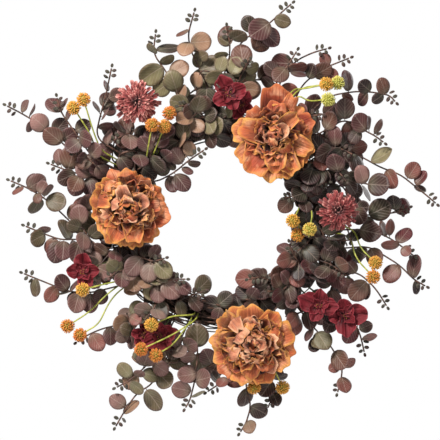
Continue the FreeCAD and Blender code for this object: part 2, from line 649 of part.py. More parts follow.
def place_leaf(layout, stem, route, x, z, radius, turn, number):
    """The largest blade, nearest to its drawn place, that is clear of everything else."""
    holds = walk(rounded(route)[2:], 3.5)
    plate = None
    for size in (1.0, 0.86, 0.72, 0.58, 0.46):
        for px, pz in places_near(holds, x, z, radius * size, number):
            for plate in leaf_choices(holds, px, pz, radius * size, turn, number):
                if layout.is_clear(plate, stem):
                    return plate
    for size in (0.7, 0.5, 0.36):
        for px, pz in places_along(holds, x, z, radius * size):
            for plate in leaf_choices(holds, px, pz, radius * size, turn, number):
                if layout.is_clear(plate, stem):
                    return plate
    layout.crowded += 1
    return plate


def bud_choices(hold, ahead, side, sway, size, number):
    """Blades for one bud: its drawn spread and roll first, then others and smaller ones."""
    for scale in (1.0, 0.8, 0.62):
        radius = bud_radius * size * scale
        for roll in (0, 50, -50, 90, 25, -25, 70, -70):
            for open_angle in (38, 55, 22, 70, 85):
                spread = math.radians(open_angle) * sway
                rise = FRONT * (0.5 * (scale < 1.0))
                axis = unit(ahead * math.cos(spread) + side * math.sin(spread) + rise)
                facing = facing_front(axis) or side
                bend = math.radians(roll + 30 * (steady(number + 5) - 0.5))
                normal = facing * math.cos(bend) + facing.cross(axis) * math.sin(bend)
                yield Plate(hold, hold + axis * (radius * 1.45), normal, radius)


def place_buds(layout, stem, route):
    """The cluster of small leaves that closes a branch: one at its tip and pairs behind."""
    placed = []
    tip = route[-1]
    ahead = unit(route[-1] - route[-2])
    side = unit(ahead.cross(FRONT))
    for i in range(5):
        hold = tip - ahead * (bud_step * i / 2)
        sway = 0 if i == 0 else (1 if i % 2 else -1)
        plate = None
        for plate in bud_choices(hold, ahead, side, sway, 0.75 + 0.07 * i, i):
            if layout.is_clear(plate, stem):
                break
        else:
            layout.crowded += 1
        layout.add_plate(plate)
        placed.append(plate)
    return placed


# ---------------------------------------------------------------------------- solids

def tube(points, radius):
    """A round wire or stem: straight runs joined by tangent arcs."""
    edges = []
    start = points[0]
    for before, corner, after in zip(points, points[1:], points[2:]):
        turn = bend(before, corner, after)
        if turn:
            entry, _, middle, _, leave = turn
            edges.append(Part.LineSegment(start, entry).toShape())
            edges.append(Part.Arc(entry, middle, leave).toShape())
            start = leave
    edges.append(Part.LineSegment(start, points[-1]).toShape())
    spine = Part.Wire(edges)
    section = Part.Wire(Part.makeCircle(radius, points[0], points[1] - points[0]))
    return spine.makePipeShell([section], True, False)


def spun(profile):
    """A solid turned about the Y axis from (radius, depth) points, closed at the axis."""
    corners = [Vector(radius, -depth, 0) for radius, depth in profile]
    face = Part.Face(Part.makePolygon(corners + corners[:1]))
    return face.revolve(ORIGIN, Vector(0, 1, 0), 360)


def ball(centre, radius):
    return Part.makeSphere(radius, centre)


def finish(shape):
    """Move a shape from the ring's centre to the hook's bearing point."""
    shape.translate(Vector(0, 0, -hook_height))
    return shape


def export(node, solids):
    """Write one node: a single solid, or a group of separate ones."""
    shape = solids[0] if len(solids) == 1 else Part.makeCompound(solids)
    finish(shape).exportStep("parts/" + node + ".step")


def make_ring():
    middle = Vector(0, -ring_depth, 0)
    core = Part.makeTorus(ring_radius, core_radius, middle, FRONT)
    twigs = []
    for i in range(twig_count):
        turn = 2 * math.pi * i / twig_count
        offset = core_radius + twig_gap + twig_radius
        radius = ring_radius + offset * math.cos(turn)
        centre = middle + Vector(0, offset * math.sin(turn), 0)
        twigs.append(Part.makeTorus(radius, twig_radius, centre, FRONT))
    bindings = []
    wrap = bundle_radius + twig_gap + binding_radius
    for i in range(binding_count):
        turn = math.radians(binding_turn + 360 * i / binding_count)
        place = Vector(ring_radius * math.sin(turn), -ring_depth, ring_radius * math.cos(turn))
        along = Vector(math.cos(turn), 0, -math.sin(turn))
        bindings.append(Part.makeTorus(wrap, binding_radius, place, along))
    export("ring_core_hoop", [core])
    export("ring_twigs", twigs)
    export("binding_wires", bindings)


def make_loop():
    """The wire loop behind the top of the ring, and the two eyelets that it swings in."""
    hinge = Vector(0, -hinge_depth, hinge_height)
    right = Vector(loop_half_width, 0, 0)
    up = Vector(0, 0, loop_leg)
    shape = Part.makeCylinder(loop_wire_radius, 2 * loop_half_width, hinge - right, right)
    for side in (-1, 1):
        foot = hinge + right * side
        shape = shape.fuse(ball(foot, loop_wire_radius))
        shape = shape.fuse(Part.makeCylinder(loop_wire_radius, loop_leg, foot, Vector(0, 0, 1)))
    section = Part.Face(Part.Wire(Part.makeCircle(loop_wire_radius, hinge + right + up, Vector(0, 0, 1))))
    arch = section.revolve(hinge + up, FRONT, 180)
    if arch.BoundBox.ZMin < hinge.z + loop_leg - loop_half_width / 2:
        arch = section.revolve(hinge + up, FRONT * -1, 180)
    export("hanging_loop", [shape.fuse(arch).removeSplitter()])

    eyelets = []
    lean = math.radians(eyelet_lean)
    inward = Vector(0, -math.sin(lean), -math.cos(lean))
    turn = loop_wire_radius + pin_clearance + eyelet_wire_radius
    for side in (-1, 1):
        place = hinge + Vector(side * eyelet_spacing / 2, 0, 0)
        eye = Part.makeTorus(turn, eyelet_wire_radius, place, Vector(1, 0, 0))
        shank = Part.makeCylinder(eyelet_wire_radius, eyelet_shank, place + inward * turn, inward)
        eyelets.append(eye.fuse(shank))
    export("loop_eyelets", eyelets)


def make_calyx(radius):
    """The green cup behind a head, with the socket for the ball and a peg for the petals."""
    socket = ball_radius + socket_clearance
    lip = socket * 0.8
    lip_depth = -math.sqrt(socket ** 2 - lip ** 2)
    flare = lip + 1.0
    back = lip_depth - lip_wall
    neck = socket + socket_wall
    body = spun([(0, peg_length), (peg_radius, peg_length), (peg_radius, calyx_front), (radius, calyx_front),
                 (radius * 0.82, calyx_front - 4), (neck, 1 - socket), (neck - 0.6, back), (0, back)])
    mouth = Part.makeCone(flare, lip, lip_wall + 0.2, Vector(0, 0.1 - back, 0), FRONT)
    return body.cut(ball(ORIGIN, socket)).cut(mouth)


def cup_profile(hole, rim, start, end, thickness):
    """Outer and inner line of a layer of petals, from its hole to its rim."""
    outer, inner = [], []
    steps = 7
    for i in range(steps + 1):
        share = i / steps
        radius = hole + (rim - hole) * share
        depth = start + (end - start) * share ** 2.2
        outer.append((radius, depth))
        inner.append((radius, depth + thickness))
    return outer + inner[::-1]


def make_peony(name, x, z, size):
    """Two cupped layers of petals and a full centre, threaded on the calyx's peg."""
    rim = peony_radius * size
    hole = peg_radius + layer_gap / 2
    first = calyx_front + layer_gap / 2
    outer = spun(cup_profile(hole, rim, first, first + outer_rise, petal_layer))
    second = first + petal_layer + layer_gap
    middle = spun(cup_profile(hole, rim * 0.84, second, second + middle_rise, petal_layer))
    third = second + petal_layer + layer_gap
    over_peg = peg_length + layer_gap
    dome = [(hole, third), (rim * 0.45, third + 7), (rim * 0.62, third + 18), (rim * 0.62, third + 27),
            (rim * 0.5, third + 36), (rim * 0.28, third + 42), (0, third + 44),
            (0, over_peg), (hole, over_peg)]
    centre = spun(dome)
    place = point(x, z, ball_depth)
    for node, shape in (("outer_petals", outer), ("middle_petals", middle), ("centre_petals", centre),
                        ("calyx", make_calyx(calyx_radius))):
        shape.translate(place)
        export("peony_" + name + "_" + node, [shape])


def make_mum(name, x, z, size):
    """A cupped layer of quill petals and the domed centre that it holds."""
    rim = mum_radius * size
    hole = peg_radius + layer_gap / 2
    first = calyx_front + layer_gap / 2
    outer = spun(cup_profile(hole, rim, first, first + mum_rise, petal_layer))
    start = first + petal_layer + layer_gap
    over_peg = peg_length + layer_gap
    dome = [(hole, start), (rim * 0.5, start + 4), (rim * 0.8, start + 13), (rim * 0.84, start + 20),
            (rim * 0.7, start + 28), (rim * 0.4, start + 33), (0, start + 35),
            (0, over_peg), (hole, over_peg)]
    centre = spun(dome)
    place = point(x, z, ball_depth)
    for node, shape in (("outer_petals", outer), ("centre_petals", centre),
                        ("calyx", make_calyx(mum_calyx_radius))):
        shape.translate(place)
        export("mum_" + name + "_" + node, [shape])


def flower_stem(layout, x, z):
    """A stem from the ring to a head's ball, straight out from the door at its end."""
    joint = point(x, z, ball_depth)
    neck = joint + Vector(0, 14, 0)
    reach = math.hypot(joint.x, joint.z)
    out = (reach - ring_radius) / reach
    elbow = Vector(joint.x - joint.x * out * 0.35, -ring_depth - 24, joint.z - joint.z * out * 0.35)
    points = [root_below(elbow), elbow, neck, joint]
    if (elbow - neck).Length < 12:
        points = [root_below(neck), neck, joint]
    layout.add_stem(rounded(points), flower_stem_radius)
    return tube(points, flower_stem_radius).fuse(ball(joint, ball_radius))


def make_flowers(layout):
    for name, x, z, size in PEONIES:
        make_peony(name, x, z, size)
        export("peony_" + name + "_stem", [flower_stem(layout, x, z)])
    for name, x, z, size in MUMS:
        make_mum(name, x, z, size)
        export("mum_" + name + "_stem", [flower_stem(layout, x, z)])


def reserve_heads(layout):
    for radius, heads in ((peony_radius, PEONIES), (mum_radius, MUMS)):
        for _, x, z, size in heads:
            px, pz = on_wreath(x, z)
            layout.heads.append((px, pz, radius * size + swing_margin, ball_depth - head_clear_depth))


def make_blossoms(layout):
    for name, blossoms in BLOSSOMS:
        petals, stems = [], []
        for x, z, depth, radii, first in blossoms:
            hub = point(x, z, depth)
            reach = math.hypot(x, z)
            inset = 1 - (reach - ring_radius) / reach * 0.45
            drawn = [(x * inset, z * inset, (depth + ring_depth + bundle_radius) / 2), (x, z, depth - 1)]
            route = clear_route(layout, drawn, blossom_stem_radius)[:-1] + [hub]
            layout.add_stem(rounded(route), blossom_stem_radius)
            stems.append(tube(route, blossom_stem_radius).fuse(ball(hub, hub_radius)))
            layout.balls.append((hub, hub_radius))
            for i, radius in enumerate(radii):
                turn = math.radians(first + 90 * i)
                rise = 0.34 if i % 2 else 0.2
                axis = unit(Vector(math.cos(turn), -rise, math.sin(turn)))
                normal = unit(FRONT - axis * FRONT.dot(axis))
                hold = hub + axis * (hub_radius * 0.7) + Vector(0, -0.9 * (i % 2), 0)
                plate = Plate(hold, hold + axis * (radius * 1.12), normal, radius)
                layout.add_plate(plate)
                petals.append(plate.solid())
        export("blossoms_" + name + "_petals", petals)
        export("blossoms_" + name + "_stems", stems)


def make_pompoms(layout):
    for name, sprays in POMPOMS:
        for route in sprays:
            layout.balls.append((point(*route[-1]), pompom_radius))
    for name, sprays in POMPOMS:
        stems, heads = [], []
        for drawn in sprays:
            centre = point(*drawn[-1])
            own = layout.balls.index((centre, pompom_radius))
            kept = layout.balls.pop(own)
            route = clear_route(layout, drawn, pompom_stem_radius)
            route[-1] = centre
            layout.add_stem(rounded(route), pompom_stem_radius)
            layout.balls.insert(own, kept)
            inside = unit(route[-2] - centre) * (pompom_radius - 3)
            stems.append(tube(route[:-1] + [centre + inside], pompom_stem_radius))
            heads.append(ball(centre, pompom_radius))
        export("pompoms_" + name + "_stems", stems)
        export("pompoms_" + name + "_heads", heads)


def cover_spray(start, reach, drift, depth, number):
    """The drawn route and leaves of one short spray laid along the ring."""
    span = math.degrees(cover_span / reach)
    route, leaves = [], []
    for i in range(4):
        turn = math.radians(start + span * i / 3)
        out = reach + drift * i
        route.append((out * math.sin(turn), out * math.cos(turn), depth + 3 * i))
    for i in range(5):
        turn = math.radians(start + span * (0.15 + 0.25 * i))
        side = 0 if i == 4 else (1 if i % 2 else -1)
        out = reach + drift * 0.75 * i + side * (cover_leaf_radius + 1)
        radius = cover_leaf_radius * (0.85 + 0.3 * steady(number * 5 + i))
        leaves.append((out * math.sin(turn), out * math.cos(turn), radius, 36 * steady(number + i)))
    return route, leaves


def branch_routes(layout):
    """Every branch as its pick's name, stem number, clear route, leaves and whether it has buds."""
    routes = []
    for name, branches in EUCALYPTUS.items():
        for first_depth, last_depth, drawn, leaves in branches:
            last = len(drawn) - 1
            with_depth = []
            for i, (x, z) in enumerate(drawn):
                with_depth.append((x, z, first_depth + (last_depth - first_depth) * i / last))
            route = clear_route(layout, with_depth, leaf_stem_radius)
            stem = layout.add_stem(rounded(route), leaf_stem_radius)
            routes.append((name, stem, route, leaves, True))
    for name, sprays in COVER.items():
        for start, reach, drift, depth in sprays:
            drawn, leaves = cover_spray(start, reach, drift, depth, len(routes))
            route = clear_route(layout, drawn, leaf_stem_radius)
            stem = layout.add_stem(rounded(route), leaf_stem_radius)
            routes.append((name, stem, route, leaves, False))
    return routes


def make_eucalyptus(layout):
    routes = branch_routes(layout)
    blades = {name: [] for name in EUCALYPTUS}
    for name, stem, route, _, budded in routes:
        if budded:
            blades[name].extend(place_buds(layout, stem, route))
    number = 0
    for name, stem, route, leaves, _ in routes:
        for x, z, radius, *turn in leaves:
            number += 1
            angle = turn[0] if turn else 0
            blade = place_leaf(layout, stem, route, x, z, radius, angle, number)
            layout.add_plate(blade)
            blades[name].append(blade)
    for name in EUCALYPTUS:
        export("eucalyptus_" + name + "_leaves", [blade.solid() for blade in blades[name]])
        stems = [tube(route[2], leaf_stem_radius) for route in routes if route[0] == name]
        export("eucalyptus_" + name + "_stems", stems)
    print("eucalyptus leaves", number, "branches", len(routes), "crowded", layout.crowded)


os.makedirs("parts", exist_ok=True)
layout = Layout()
reserve_heads(layout)
make_ring()
make_loop()
make_flowers(layout)
make_blossoms(layout)
make_pompoms(layout)
make_eucalyptus(layout)
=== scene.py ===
import json
import math
import random

import bmesh
import bpy
import numpy as np
from mathutils import Matrix, Vector, noise


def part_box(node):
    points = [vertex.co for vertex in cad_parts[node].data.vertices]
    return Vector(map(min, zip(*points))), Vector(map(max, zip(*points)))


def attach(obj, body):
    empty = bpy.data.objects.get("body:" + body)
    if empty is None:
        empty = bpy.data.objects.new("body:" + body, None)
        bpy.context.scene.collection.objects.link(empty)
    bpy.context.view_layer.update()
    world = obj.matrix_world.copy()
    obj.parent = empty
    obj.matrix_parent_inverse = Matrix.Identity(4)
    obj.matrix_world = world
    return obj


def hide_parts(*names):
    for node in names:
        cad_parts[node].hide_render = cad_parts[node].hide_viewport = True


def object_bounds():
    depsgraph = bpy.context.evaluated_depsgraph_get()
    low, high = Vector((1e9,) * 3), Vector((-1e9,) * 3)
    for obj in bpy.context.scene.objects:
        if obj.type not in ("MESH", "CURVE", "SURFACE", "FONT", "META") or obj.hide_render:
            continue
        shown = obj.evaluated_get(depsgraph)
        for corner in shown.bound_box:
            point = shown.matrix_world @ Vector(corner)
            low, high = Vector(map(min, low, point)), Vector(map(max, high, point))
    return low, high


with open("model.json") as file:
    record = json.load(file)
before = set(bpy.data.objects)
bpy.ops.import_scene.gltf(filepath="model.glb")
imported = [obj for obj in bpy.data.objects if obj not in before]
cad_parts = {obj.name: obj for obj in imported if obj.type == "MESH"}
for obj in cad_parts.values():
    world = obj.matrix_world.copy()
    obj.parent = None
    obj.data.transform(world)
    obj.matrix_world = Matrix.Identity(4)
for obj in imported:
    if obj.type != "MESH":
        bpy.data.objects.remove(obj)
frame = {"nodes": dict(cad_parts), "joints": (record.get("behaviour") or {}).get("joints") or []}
cad_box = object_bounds()
nodes = frame["nodes"]

# ---------------------------------------------------------------- camera and light
# A straight front view, square to the door, from far enough away that the wreath
# hardly tapers. White surroundings, a large soft key light from the upper left, weaker
# ones from the right and from behind, and a pale floor well below the lowest leaves.

ring_low, ring_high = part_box("ring_core_hoop")
ring_centre = (ring_low + ring_high) / 2
ring_radius = (ring_high.x - ring_low.x - (ring_high.y - ring_low.y)) / 2

camera_data = bpy.data.cameras.new("camera")
camera = bpy.data.objects.new("camera", camera_data)
camera_distance = 4.0
foliage_plane = -0.055
view_width = 0.7216
camera_data.sensor_width = 36.0
camera_data.lens = 36.0 * camera_distance / view_width
camera.location = (-0.0016, foliage_plane - camera_distance, ring_centre.z - 0.0016)
camera.rotation_euler = (math.pi / 2, 0, 0)
bpy.context.scene.collection.objects.link(camera)
bpy.context.scene.camera = camera
bpy.context.scene.view_settings.view_transform = "Standard"
bpy.context.scene.view_settings.look = "None"

world = bpy.data.worlds.new("white_room")
world.use_nodes = True
bpy.context.scene.world = world
room = world.node_tree
seen = room.nodes["Background"]
seen.inputs["Color"].default_value = (1, 1, 1, 1)
seen.inputs["Strength"].default_value = 1.0
fill = room.nodes.new("ShaderNodeBackground")
fill.inputs["Color"].default_value = (0.95, 0.97, 1, 1)
fill.inputs["Strength"].default_value = 0.22
ray = room.nodes.new("ShaderNodeLightPath")
choose = room.nodes.new("ShaderNodeMixShader")
room.links.new(ray.outputs["Is Camera Ray"], choose.inputs[0])
room.links.new(fill.outputs[0], choose.inputs[1])
room.links.new(seen.outputs[0], choose.inputs[2])
room.links.new(choose.outputs[0], room.nodes["World Output"].inputs["Surface"])


def soft_light(name, place, size, watts, colour):
    """A square studio light that faces the ring's middle."""
    data = bpy.data.lights.new(name, "AREA")
    data.size = size
    data.energy = watts
    data.color = colour
    light = bpy.data.objects.new(name, data)
    light.location = place
    light.rotation_euler = (ring_centre - Vector(place)).to_track_quat("-Z", "Y").to_euler()
    bpy.context.scene.collection.objects.link(light)


soft_light("key_light", (-1.1, -1.6, 1.3), 0.5, 92, (1, 0.98, 0.95))
soft_light("front_light", (0.9, -2.4, 0.2), 0.8, 15, (0.96, 0.98, 1))
soft_light("back_light", (1.9, 1.5, 0.8), 1.2, 30, (1, 1, 1))

floor_bm = bmesh.new()
bmesh.ops.create_grid(floor_bm, x_segments=1, y_segments=1, size=1.4)
bmesh.ops.translate(floor_bm, verts=floor_bm.verts, vec=(0, 0, cad_box[0][2] - 0.35))
floor_mesh = bpy.data.meshes.new("floor")
floor_bm.to_mesh(floor_mesh)
floor_bm.free()
floor = bpy.data.objects.new("floor", floor_mesh)
bpy.context.scene.collection.objects.link(floor)
floor_paint = bpy.data.materials.new("floor_paint")
floor_paint.use_nodes = True
floor_shader = floor_paint.node_tree.nodes["Principled BSDF"]
floor_shader.inputs["Base Color"].default_value = (0.82, 0.82, 0.81, 1)
floor_shader.inputs["Roughness"].default_value = 0.8
floor_mesh.materials.append(floor_paint)

# ---------------------------------------------------------------- twig ring
# The ring is a bundle of dry vines and twigs, wound round one another as it was bent
# into a hoop. Each twig winds a few times round the bundle's middle line.


def colour(code, strength=1.0):
    """A paint colour from its red, green and blue pairs, as the shader takes it."""
    parts = [int(code[i:i + 2], 16) / 255 for i in (0, 2, 4)]
    light = [p / 12.92 if p < 0.04045 else ((p + 0.055) / 1.055) ** 2.4 for p in parts]
    return tuple(min(p * strength, 1.0) for p in light) + (1.0,)


class Paint:
    """One socket of a material, so that a pattern is written as a sum or a product."""

    def __init__(self, tree, socket=None):
        self.tree = tree
        self.socket = socket

    def add(self, kind, settings, inputs, out=0):
        """A node of a kind: its settings first, then the values or links of its sockets."""
        node = self.tree.nodes.new(kind)
        for name, value in settings.items():
            setattr(node, name, value)
        for name, value in inputs.items():
            if isinstance(value, Paint):
                self.tree.links.new(value.socket, node.inputs[name])
            else:
                node.inputs[name].default_value = value
        return Paint(self.tree, node.outputs[out])

    def maths(self, operation, *terms):
        """A maths node of the terms, or of this socket alone."""
        return self.add("ShaderNodeMath", {"operation": operation}, dict(enumerate(terms or (self,))))

    def __add__(self, other):
        return self.maths("ADD", self, other)

    def __mul__(self, other):
        return self.maths("MULTIPLY", self, other)

    def __sub__(self, other):
        return self.maths("SUBTRACT", self, other)

    def __rsub__(self, other):
        return self.maths("SUBTRACT", other, self)

    def __abs__(self):
        return self.maths("ABSOLUTE")

    __radd__ = __add__
    __rmul__ = __mul__

    def rise(self, low, high, start=0.0, end=1.0):
        """A smooth step from start to end as this goes from low to high."""
        return self.add("ShaderNodeMapRange", {"interpolation_type": "SMOOTHSTEP"},
                        {"Value": self, "From Min": low, "From Max": high,
                         "To Min": start, "To Max": end})

    def blend(self, under, over):
        """The colour under where this is 0, and over where it is 1."""
        return self.add("ShaderNodeMix", {"data_type": "RGBA"}, {0: self, 6: under, 7: over}, 2)


def new_material(name, roughness, sheen=0.0):
    """A principled material and a Paint to build its pattern with."""
    material = bpy.data.materials.new(name)
    material.use_nodes = True
    shader = material.node_tree.nodes["Principled BSDF"]
    shader.inputs["Roughness"].default_value = roughness
    shader.inputs["Sheen Weight"].default_value = sheen
    shader.inputs["Specular IOR Level"].default_value = 0.35
    return material, shader, Paint(material.node_tree)


def speckle(paint, scale, detail=3.0):
    """A fine noise over the object."""
    place = paint.add("ShaderNodeTexCoord", {}, {}, "Object")
    return paint.add("ShaderNodeTexNoise", {}, {"Vector": place, "Scale": scale, "Detail": detail})


def named(paint, name, out="Fac"):
    """A value kept on the piece's own points."""
    return paint.add("ShaderNodeAttribute", {"attribute_name": name}, {}, out)


def emboss(paint, shader, height, depth):
    """Relief of a depth in metres."""
    bump = paint.add("ShaderNodeBump", {}, {"Height": height, "Distance": depth, "Strength": 0.8})
    paint.tree.links.new(bump.socket, shader.inputs["Normal"])


def shown(paint, shader, tone):
    """The pattern as the material's colour."""
    paint.tree.links.new(tone.socket, shader.inputs["Base Color"])


def piece(name, bm, material, body, stands_for, thickness=0.0, smooth=0):
    """A finished piece from its bmesh: its object, material, body and the nodes it stands for."""
    mesh = bpy.data.meshes.new(name)
    bm.to_mesh(mesh)
    bm.free()
    mesh.shade_smooth()
    mesh.materials.append(material)
    made = bpy.data.objects.new(name, mesh)
    bpy.context.scene.collection.objects.link(made)
    if thickness:
        sheet = made.modifiers.new("cloth_thickness", "SOLIDIFY")
        sheet.thickness = thickness
        sheet.offset = 0.0
    if smooth:
        soft = made.modifiers.new("soft_curves", "SUBSURF")
        soft.levels = smooth
        soft.render_levels = smooth
    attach(made, body)
    if stands_for:
        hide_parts(*stands_for)


bark, bark_shader, paint = new_material("bark", 0.85)
grain = speckle(paint, 60.0, 5.0)
flecks = speckle(paint, 420.0, 2.0)
shown(paint, bark_shader, flecks.rise(0.55, 0.75).blend(
    grain.rise(0.35, 0.7).blend(colour("1A110D"), colour("46342A")), colour("6E5846")))
emboss(paint, bark_shader, grain * 0.7 + flecks * 0.3, 0.0012)

# Each twig: how far it lies from the bundle's middle line, half its thickness, and how often
# it winds round. One heart, three layers over it, and ten loose thin vines outside.
twig_plan = [(0.0, 0.0042, 1)] + [(0.0085, 0.0045, 3)] * 4
twig_plan += [(0.0158, 0.0034, 5)] * 8 + [(0.0172, 0.0024, -7)] * 5
twig_plan += [(0.020, 0.0012, 2), (0.023, 0.0010, -2), (0.021, 0.0013, 3), (0.024, 0.0010, 1),
              (0.022, 0.0012, -3), (0.025, 0.0009, 2), (0.021, 0.0011, 1), (0.024, 0.0011, -1),
              (0.023, 0.0012, 4), (0.026, 0.0009, 1)]
loose_offset = 0.02
door_gap = 0.0035
for number, (offset, thick, windings) in enumerate(twig_plan):
    bm = bmesh.new()
    section = bmesh.ops.create_circle(bm, segments=8, radius=thick)["verts"]
    upright = Matrix.Translation((ring_radius, 0, 0)) @ Matrix.Rotation(math.pi / 2, 4, "X")
    bmesh.ops.transform(bm, verts=section, matrix=upright)
    bmesh.ops.spin(bm, geom=section + list(bm.edges), cent=(0, 0, 0), axis=(0, 0, 1),
                   angle=2 * math.pi, steps=150, use_merge=True)
    bmesh.ops.remove_doubles(bm, verts=bm.verts, dist=0.00001)
    layer_share = 4 if offset < 0.01 else 8 if offset < 0.017 else 5 if offset < loose_offset else 3.7
    start = 2 * math.pi * number / layer_share
    for v in bm.verts:
        turn = math.atan2(v.co.y, v.co.x)
        out = Vector((math.cos(turn), math.sin(turn), 0))
        wind = windings * turn + start
        wobble = noise.noise(Vector((number * 7.3, 2 * math.cos(turn), 2 * math.sin(turn))))
        reach = offset * (1 + (0.12 if offset < loose_offset else 0.45) * wobble)
        knot = 1 + 0.25 * noise.noise(Vector((number * 3.1, 14 * math.cos(turn), 14 * math.sin(turn))))
        middle = out * ring_radius
        # The hoop lies flat here, with the door below it at ring_centre.y.
        ahead = max(reach * math.sin(wind), ring_centre.y + door_gap)
        v.co = middle + (v.co - middle) * knot + out * (reach * math.cos(wind)) + Vector((0, 0, ahead))
    bmesh.ops.rotate(bm, verts=bm.verts, cent=(0, 0, 0), matrix=Matrix.Rotation(math.pi / 2, 3, "X"))
    bmesh.ops.translate(bm, verts=bm.verts, vec=ring_centre)
    bmesh.ops.recalc_face_normals(bm, faces=bm.faces)
    stands_for = ["ring_core_hoop", "ring_twigs"] if number == 0 else []
    piece(f"vine_{number:02d}", bm, bark, "root", stands_for)

# ---------------------------------------------------------------- wire and stems
# Paper-covered florist wire ties the bundle and makes the loop and eyelets. The picks' stems
# are thin plastic tubes moulded on soft wire, brown, olive or yellow green. Those of the
# lower left picks lie along the ring for a while before they branch off.

wire_cover, wire_shader, paint = new_material("wire_paper", 0.7)
wrap = speckle(paint, 900.0, 2.0)
shown(paint, wire_shader, wrap.rise(0.3, 0.7).blend(colour("231A12"), colour("4A3826")))
emboss(paint, wire_shader, wrap, 0.0003)


def stem_plastic(name, roughness, scale, detail, pale_from, dark, pale):
    """A moulded stem's ribbed plastic, dark in the grooves and pale on the ribs."""
    material, shader, paint = new_material(name, roughness)
    ribs = speckle(paint, scale, detail)
    shown(paint, shader, ribs.rise(0.35, pale_from).blend(colour(dark), colour(pale)))
    emboss(paint, shader, ribs, 0.0006)
    return material


brown_stem = stem_plastic("brown_stem", 0.55, 160.0, 4.0, 0.68, "2A1C18", "6A4A3C")
olive_stem = stem_plastic("olive_stem", 0.55, 160.0, 4.0, 0.68, "2C3018", "5C6236")
lime_stem = stem_plastic("lime_stem", 0.45, 110.0, 3.0, 0.65, "7F8430", "B2B24E")

chance = random.Random("long stems")
bm = bmesh.new()
for _ in range(22):
    first = math.radians(chance.uniform(190, 212))
    last = math.radians(chance.uniform(250, 277))
    radius = ring_radius + chance.uniform(-0.026, 0.031)
    ahead = ring_centre.y - chance.uniform(0.014, 0.032)
    seed = chance.uniform(0, 90)
    thick = chance.uniform(0.0008, 0.0015)
    section = bmesh.ops.create_circle(bm, segments=6, radius=thick)["verts"]
    bmesh.ops.translate(bm, verts=section, vec=(radius, 0, 0))
    bmesh.ops.rotate(bm, verts=section, cent=(0, 0, 0), matrix=Matrix.Rotation(-first, 3, "Y"))
    rim = list(dict.fromkeys(edge for v in section for edge in v.link_edges))
    before = set(bm.verts) - set(section)
    bmesh.ops.spin(bm, geom=section + rim, cent=(0, 0, 0), axis=(0, -1, 0), angle=last - first, steps=26)
    for v in set(bm.verts) - before:
        turn = math.atan2(v.co.z, v.co.x)
        out = Vector((math.cos(turn), 0, math.sin(turn)))
        drift = 0.011 * noise.noise(Vector((seed, 2.2 * turn, 0)))
        drift += 0.002 * noise.noise(Vector((seed, 11 * turn, 5)))
        sink = 0.007 * noise.noise(Vector((seed + 40, 2.5 * turn, 0)))
        v.co += out * drift + ring_centre + Vector((0, ahead - ring_centre.y + sink, 0))
bmesh.ops.recalc_face_normals(bm, faces=bm.faces)
piece("long_stems", bm, brown_stem, "root", [])


def finish_node(name, material):
    """A node of the frame whose shape is right, in its finish."""
    mesh = nodes[name].data
    mesh.materials.clear()
    mesh.materials.append(material)


for name in ("binding_wires", "hanging_loop", "loop_eyelets"):
    finish_node(name, wire_cover)
for name in nodes:
    if name.startswith("eucalyptus") and name.endswith("stems"):
        finish_node(name, brown_stem)
    elif name.startswith("pompoms") and name.endswith("stems"):
        finish_node(name, lime_stem)
    elif name.endswith(("stem", "stems", "calyx")):
        finish_node(name, olive_stem)

# ---------------------------------------------------------------- eucalyptus leaves
# Silver-dollar leaves are die-cut from waxed cloth, pressed with a midrib and veins, and
# glued to the stem by a short stalk. Each pick has its own mix of dyes, from sage and tan
# at the top to plum, mauve and near black at the sides. Leaves deep in the ring are mostly
# near black, partly dark dye and partly painted shade.


def read_islands(node_name):
    """The points of each separate solid in a node of the frame."""
    bm = bmesh.new()
    bm.from_mesh(nodes[node_name].data)
    bmesh.ops.remove_doubles(bm, verts=bm.verts, dist=0.000002)
    bm.verts.ensure_lookup_table()
    waiting = set(bm.verts)
    islands = []
    while waiting:
        first = min(waiting, key=lambda v: v.index)
        waiting.discard(first)
        island, edge = [first], [first]
        while edge:
            v = edge.pop()
            for link in v.link_edges:
                other = link.other_vert(v)
                if other in waiting:
                    waiting.discard(other)
                    island.append(other)
                    edge.append(other)
        islands.append(np.array([v.co for v in island]))
    bm.free()
    return islands


def read_blades(node_name):
    """Each thin blade of a node: where it is held, its centre, its normal and its radius."""
    blades = []
    for points in read_islands(node_name):
        middle = points.mean(0)
        axes = np.linalg.svd(points - middle)[2]
        flat = (points - middle) @ axes[:2].T
        # The points on the rim fit a circle, and those of the tab that holds it are left out.
        kept = np.ones(len(flat), bool)
        for _ in range(3):
            sides = np.c_[2 * flat[kept], np.ones(kept.sum())]
            cx, cz, rest = np.linalg.lstsq(sides, (flat[kept] ** 2).sum(1), rcond=None)[0]
            away = np.hypot(flat[:, 0] - cx, flat[:, 1] - cz)
            kept = away < away.max() - 0.0002
        centre = Vector(middle + cx * axes[0] + cz * axes[1])
        hold = Vector(points[away.argmax()])
        normal = Vector(axes[2])
        hold -= normal * (hold - centre).dot(normal)
        if normal.y > 0:
            normal = -normal
        blades.append((hold, centre, normal, math.sqrt(rest + cx * cx + cz * cz)))
    return blades


# Every dye by its name, and each pick's mix: a dye that is named twice is twice as common.
leaf_dyes = {
    "plum": "5E3837", "mauve": "7E5B55", "rose": "8C5349", "black": "2C1815", "olive": "65593F",
    "sage": "87805C", "tan": "A17F64", "pink": "A27B73", "wine": "5E1C22", "brown": "6E493B",
    "grey": "8A7167", "dark_olive": "3A3122", "umber": "452A23", "bud": "3E3D2E", "bud_plum": "462F28",
}
pick_dyes = {
    "top": "sage sage olive olive tan dark_olive sage brown",
    "upper_left": "plum mauve plum brown mauve umber plum",
    "left": "mauve rose plum mauve olive plum brown",
    "lower_left": "grey mauve sage olive rose tan plum grey",
    "bottom": "umber plum brown black rose umber",
    "lower_right": "umber rose plum black umber brown wine",
    "right": "umber black wine dark_olive black plum umber",
    "upper_right": "umber plum black umber rose plum brown",
}
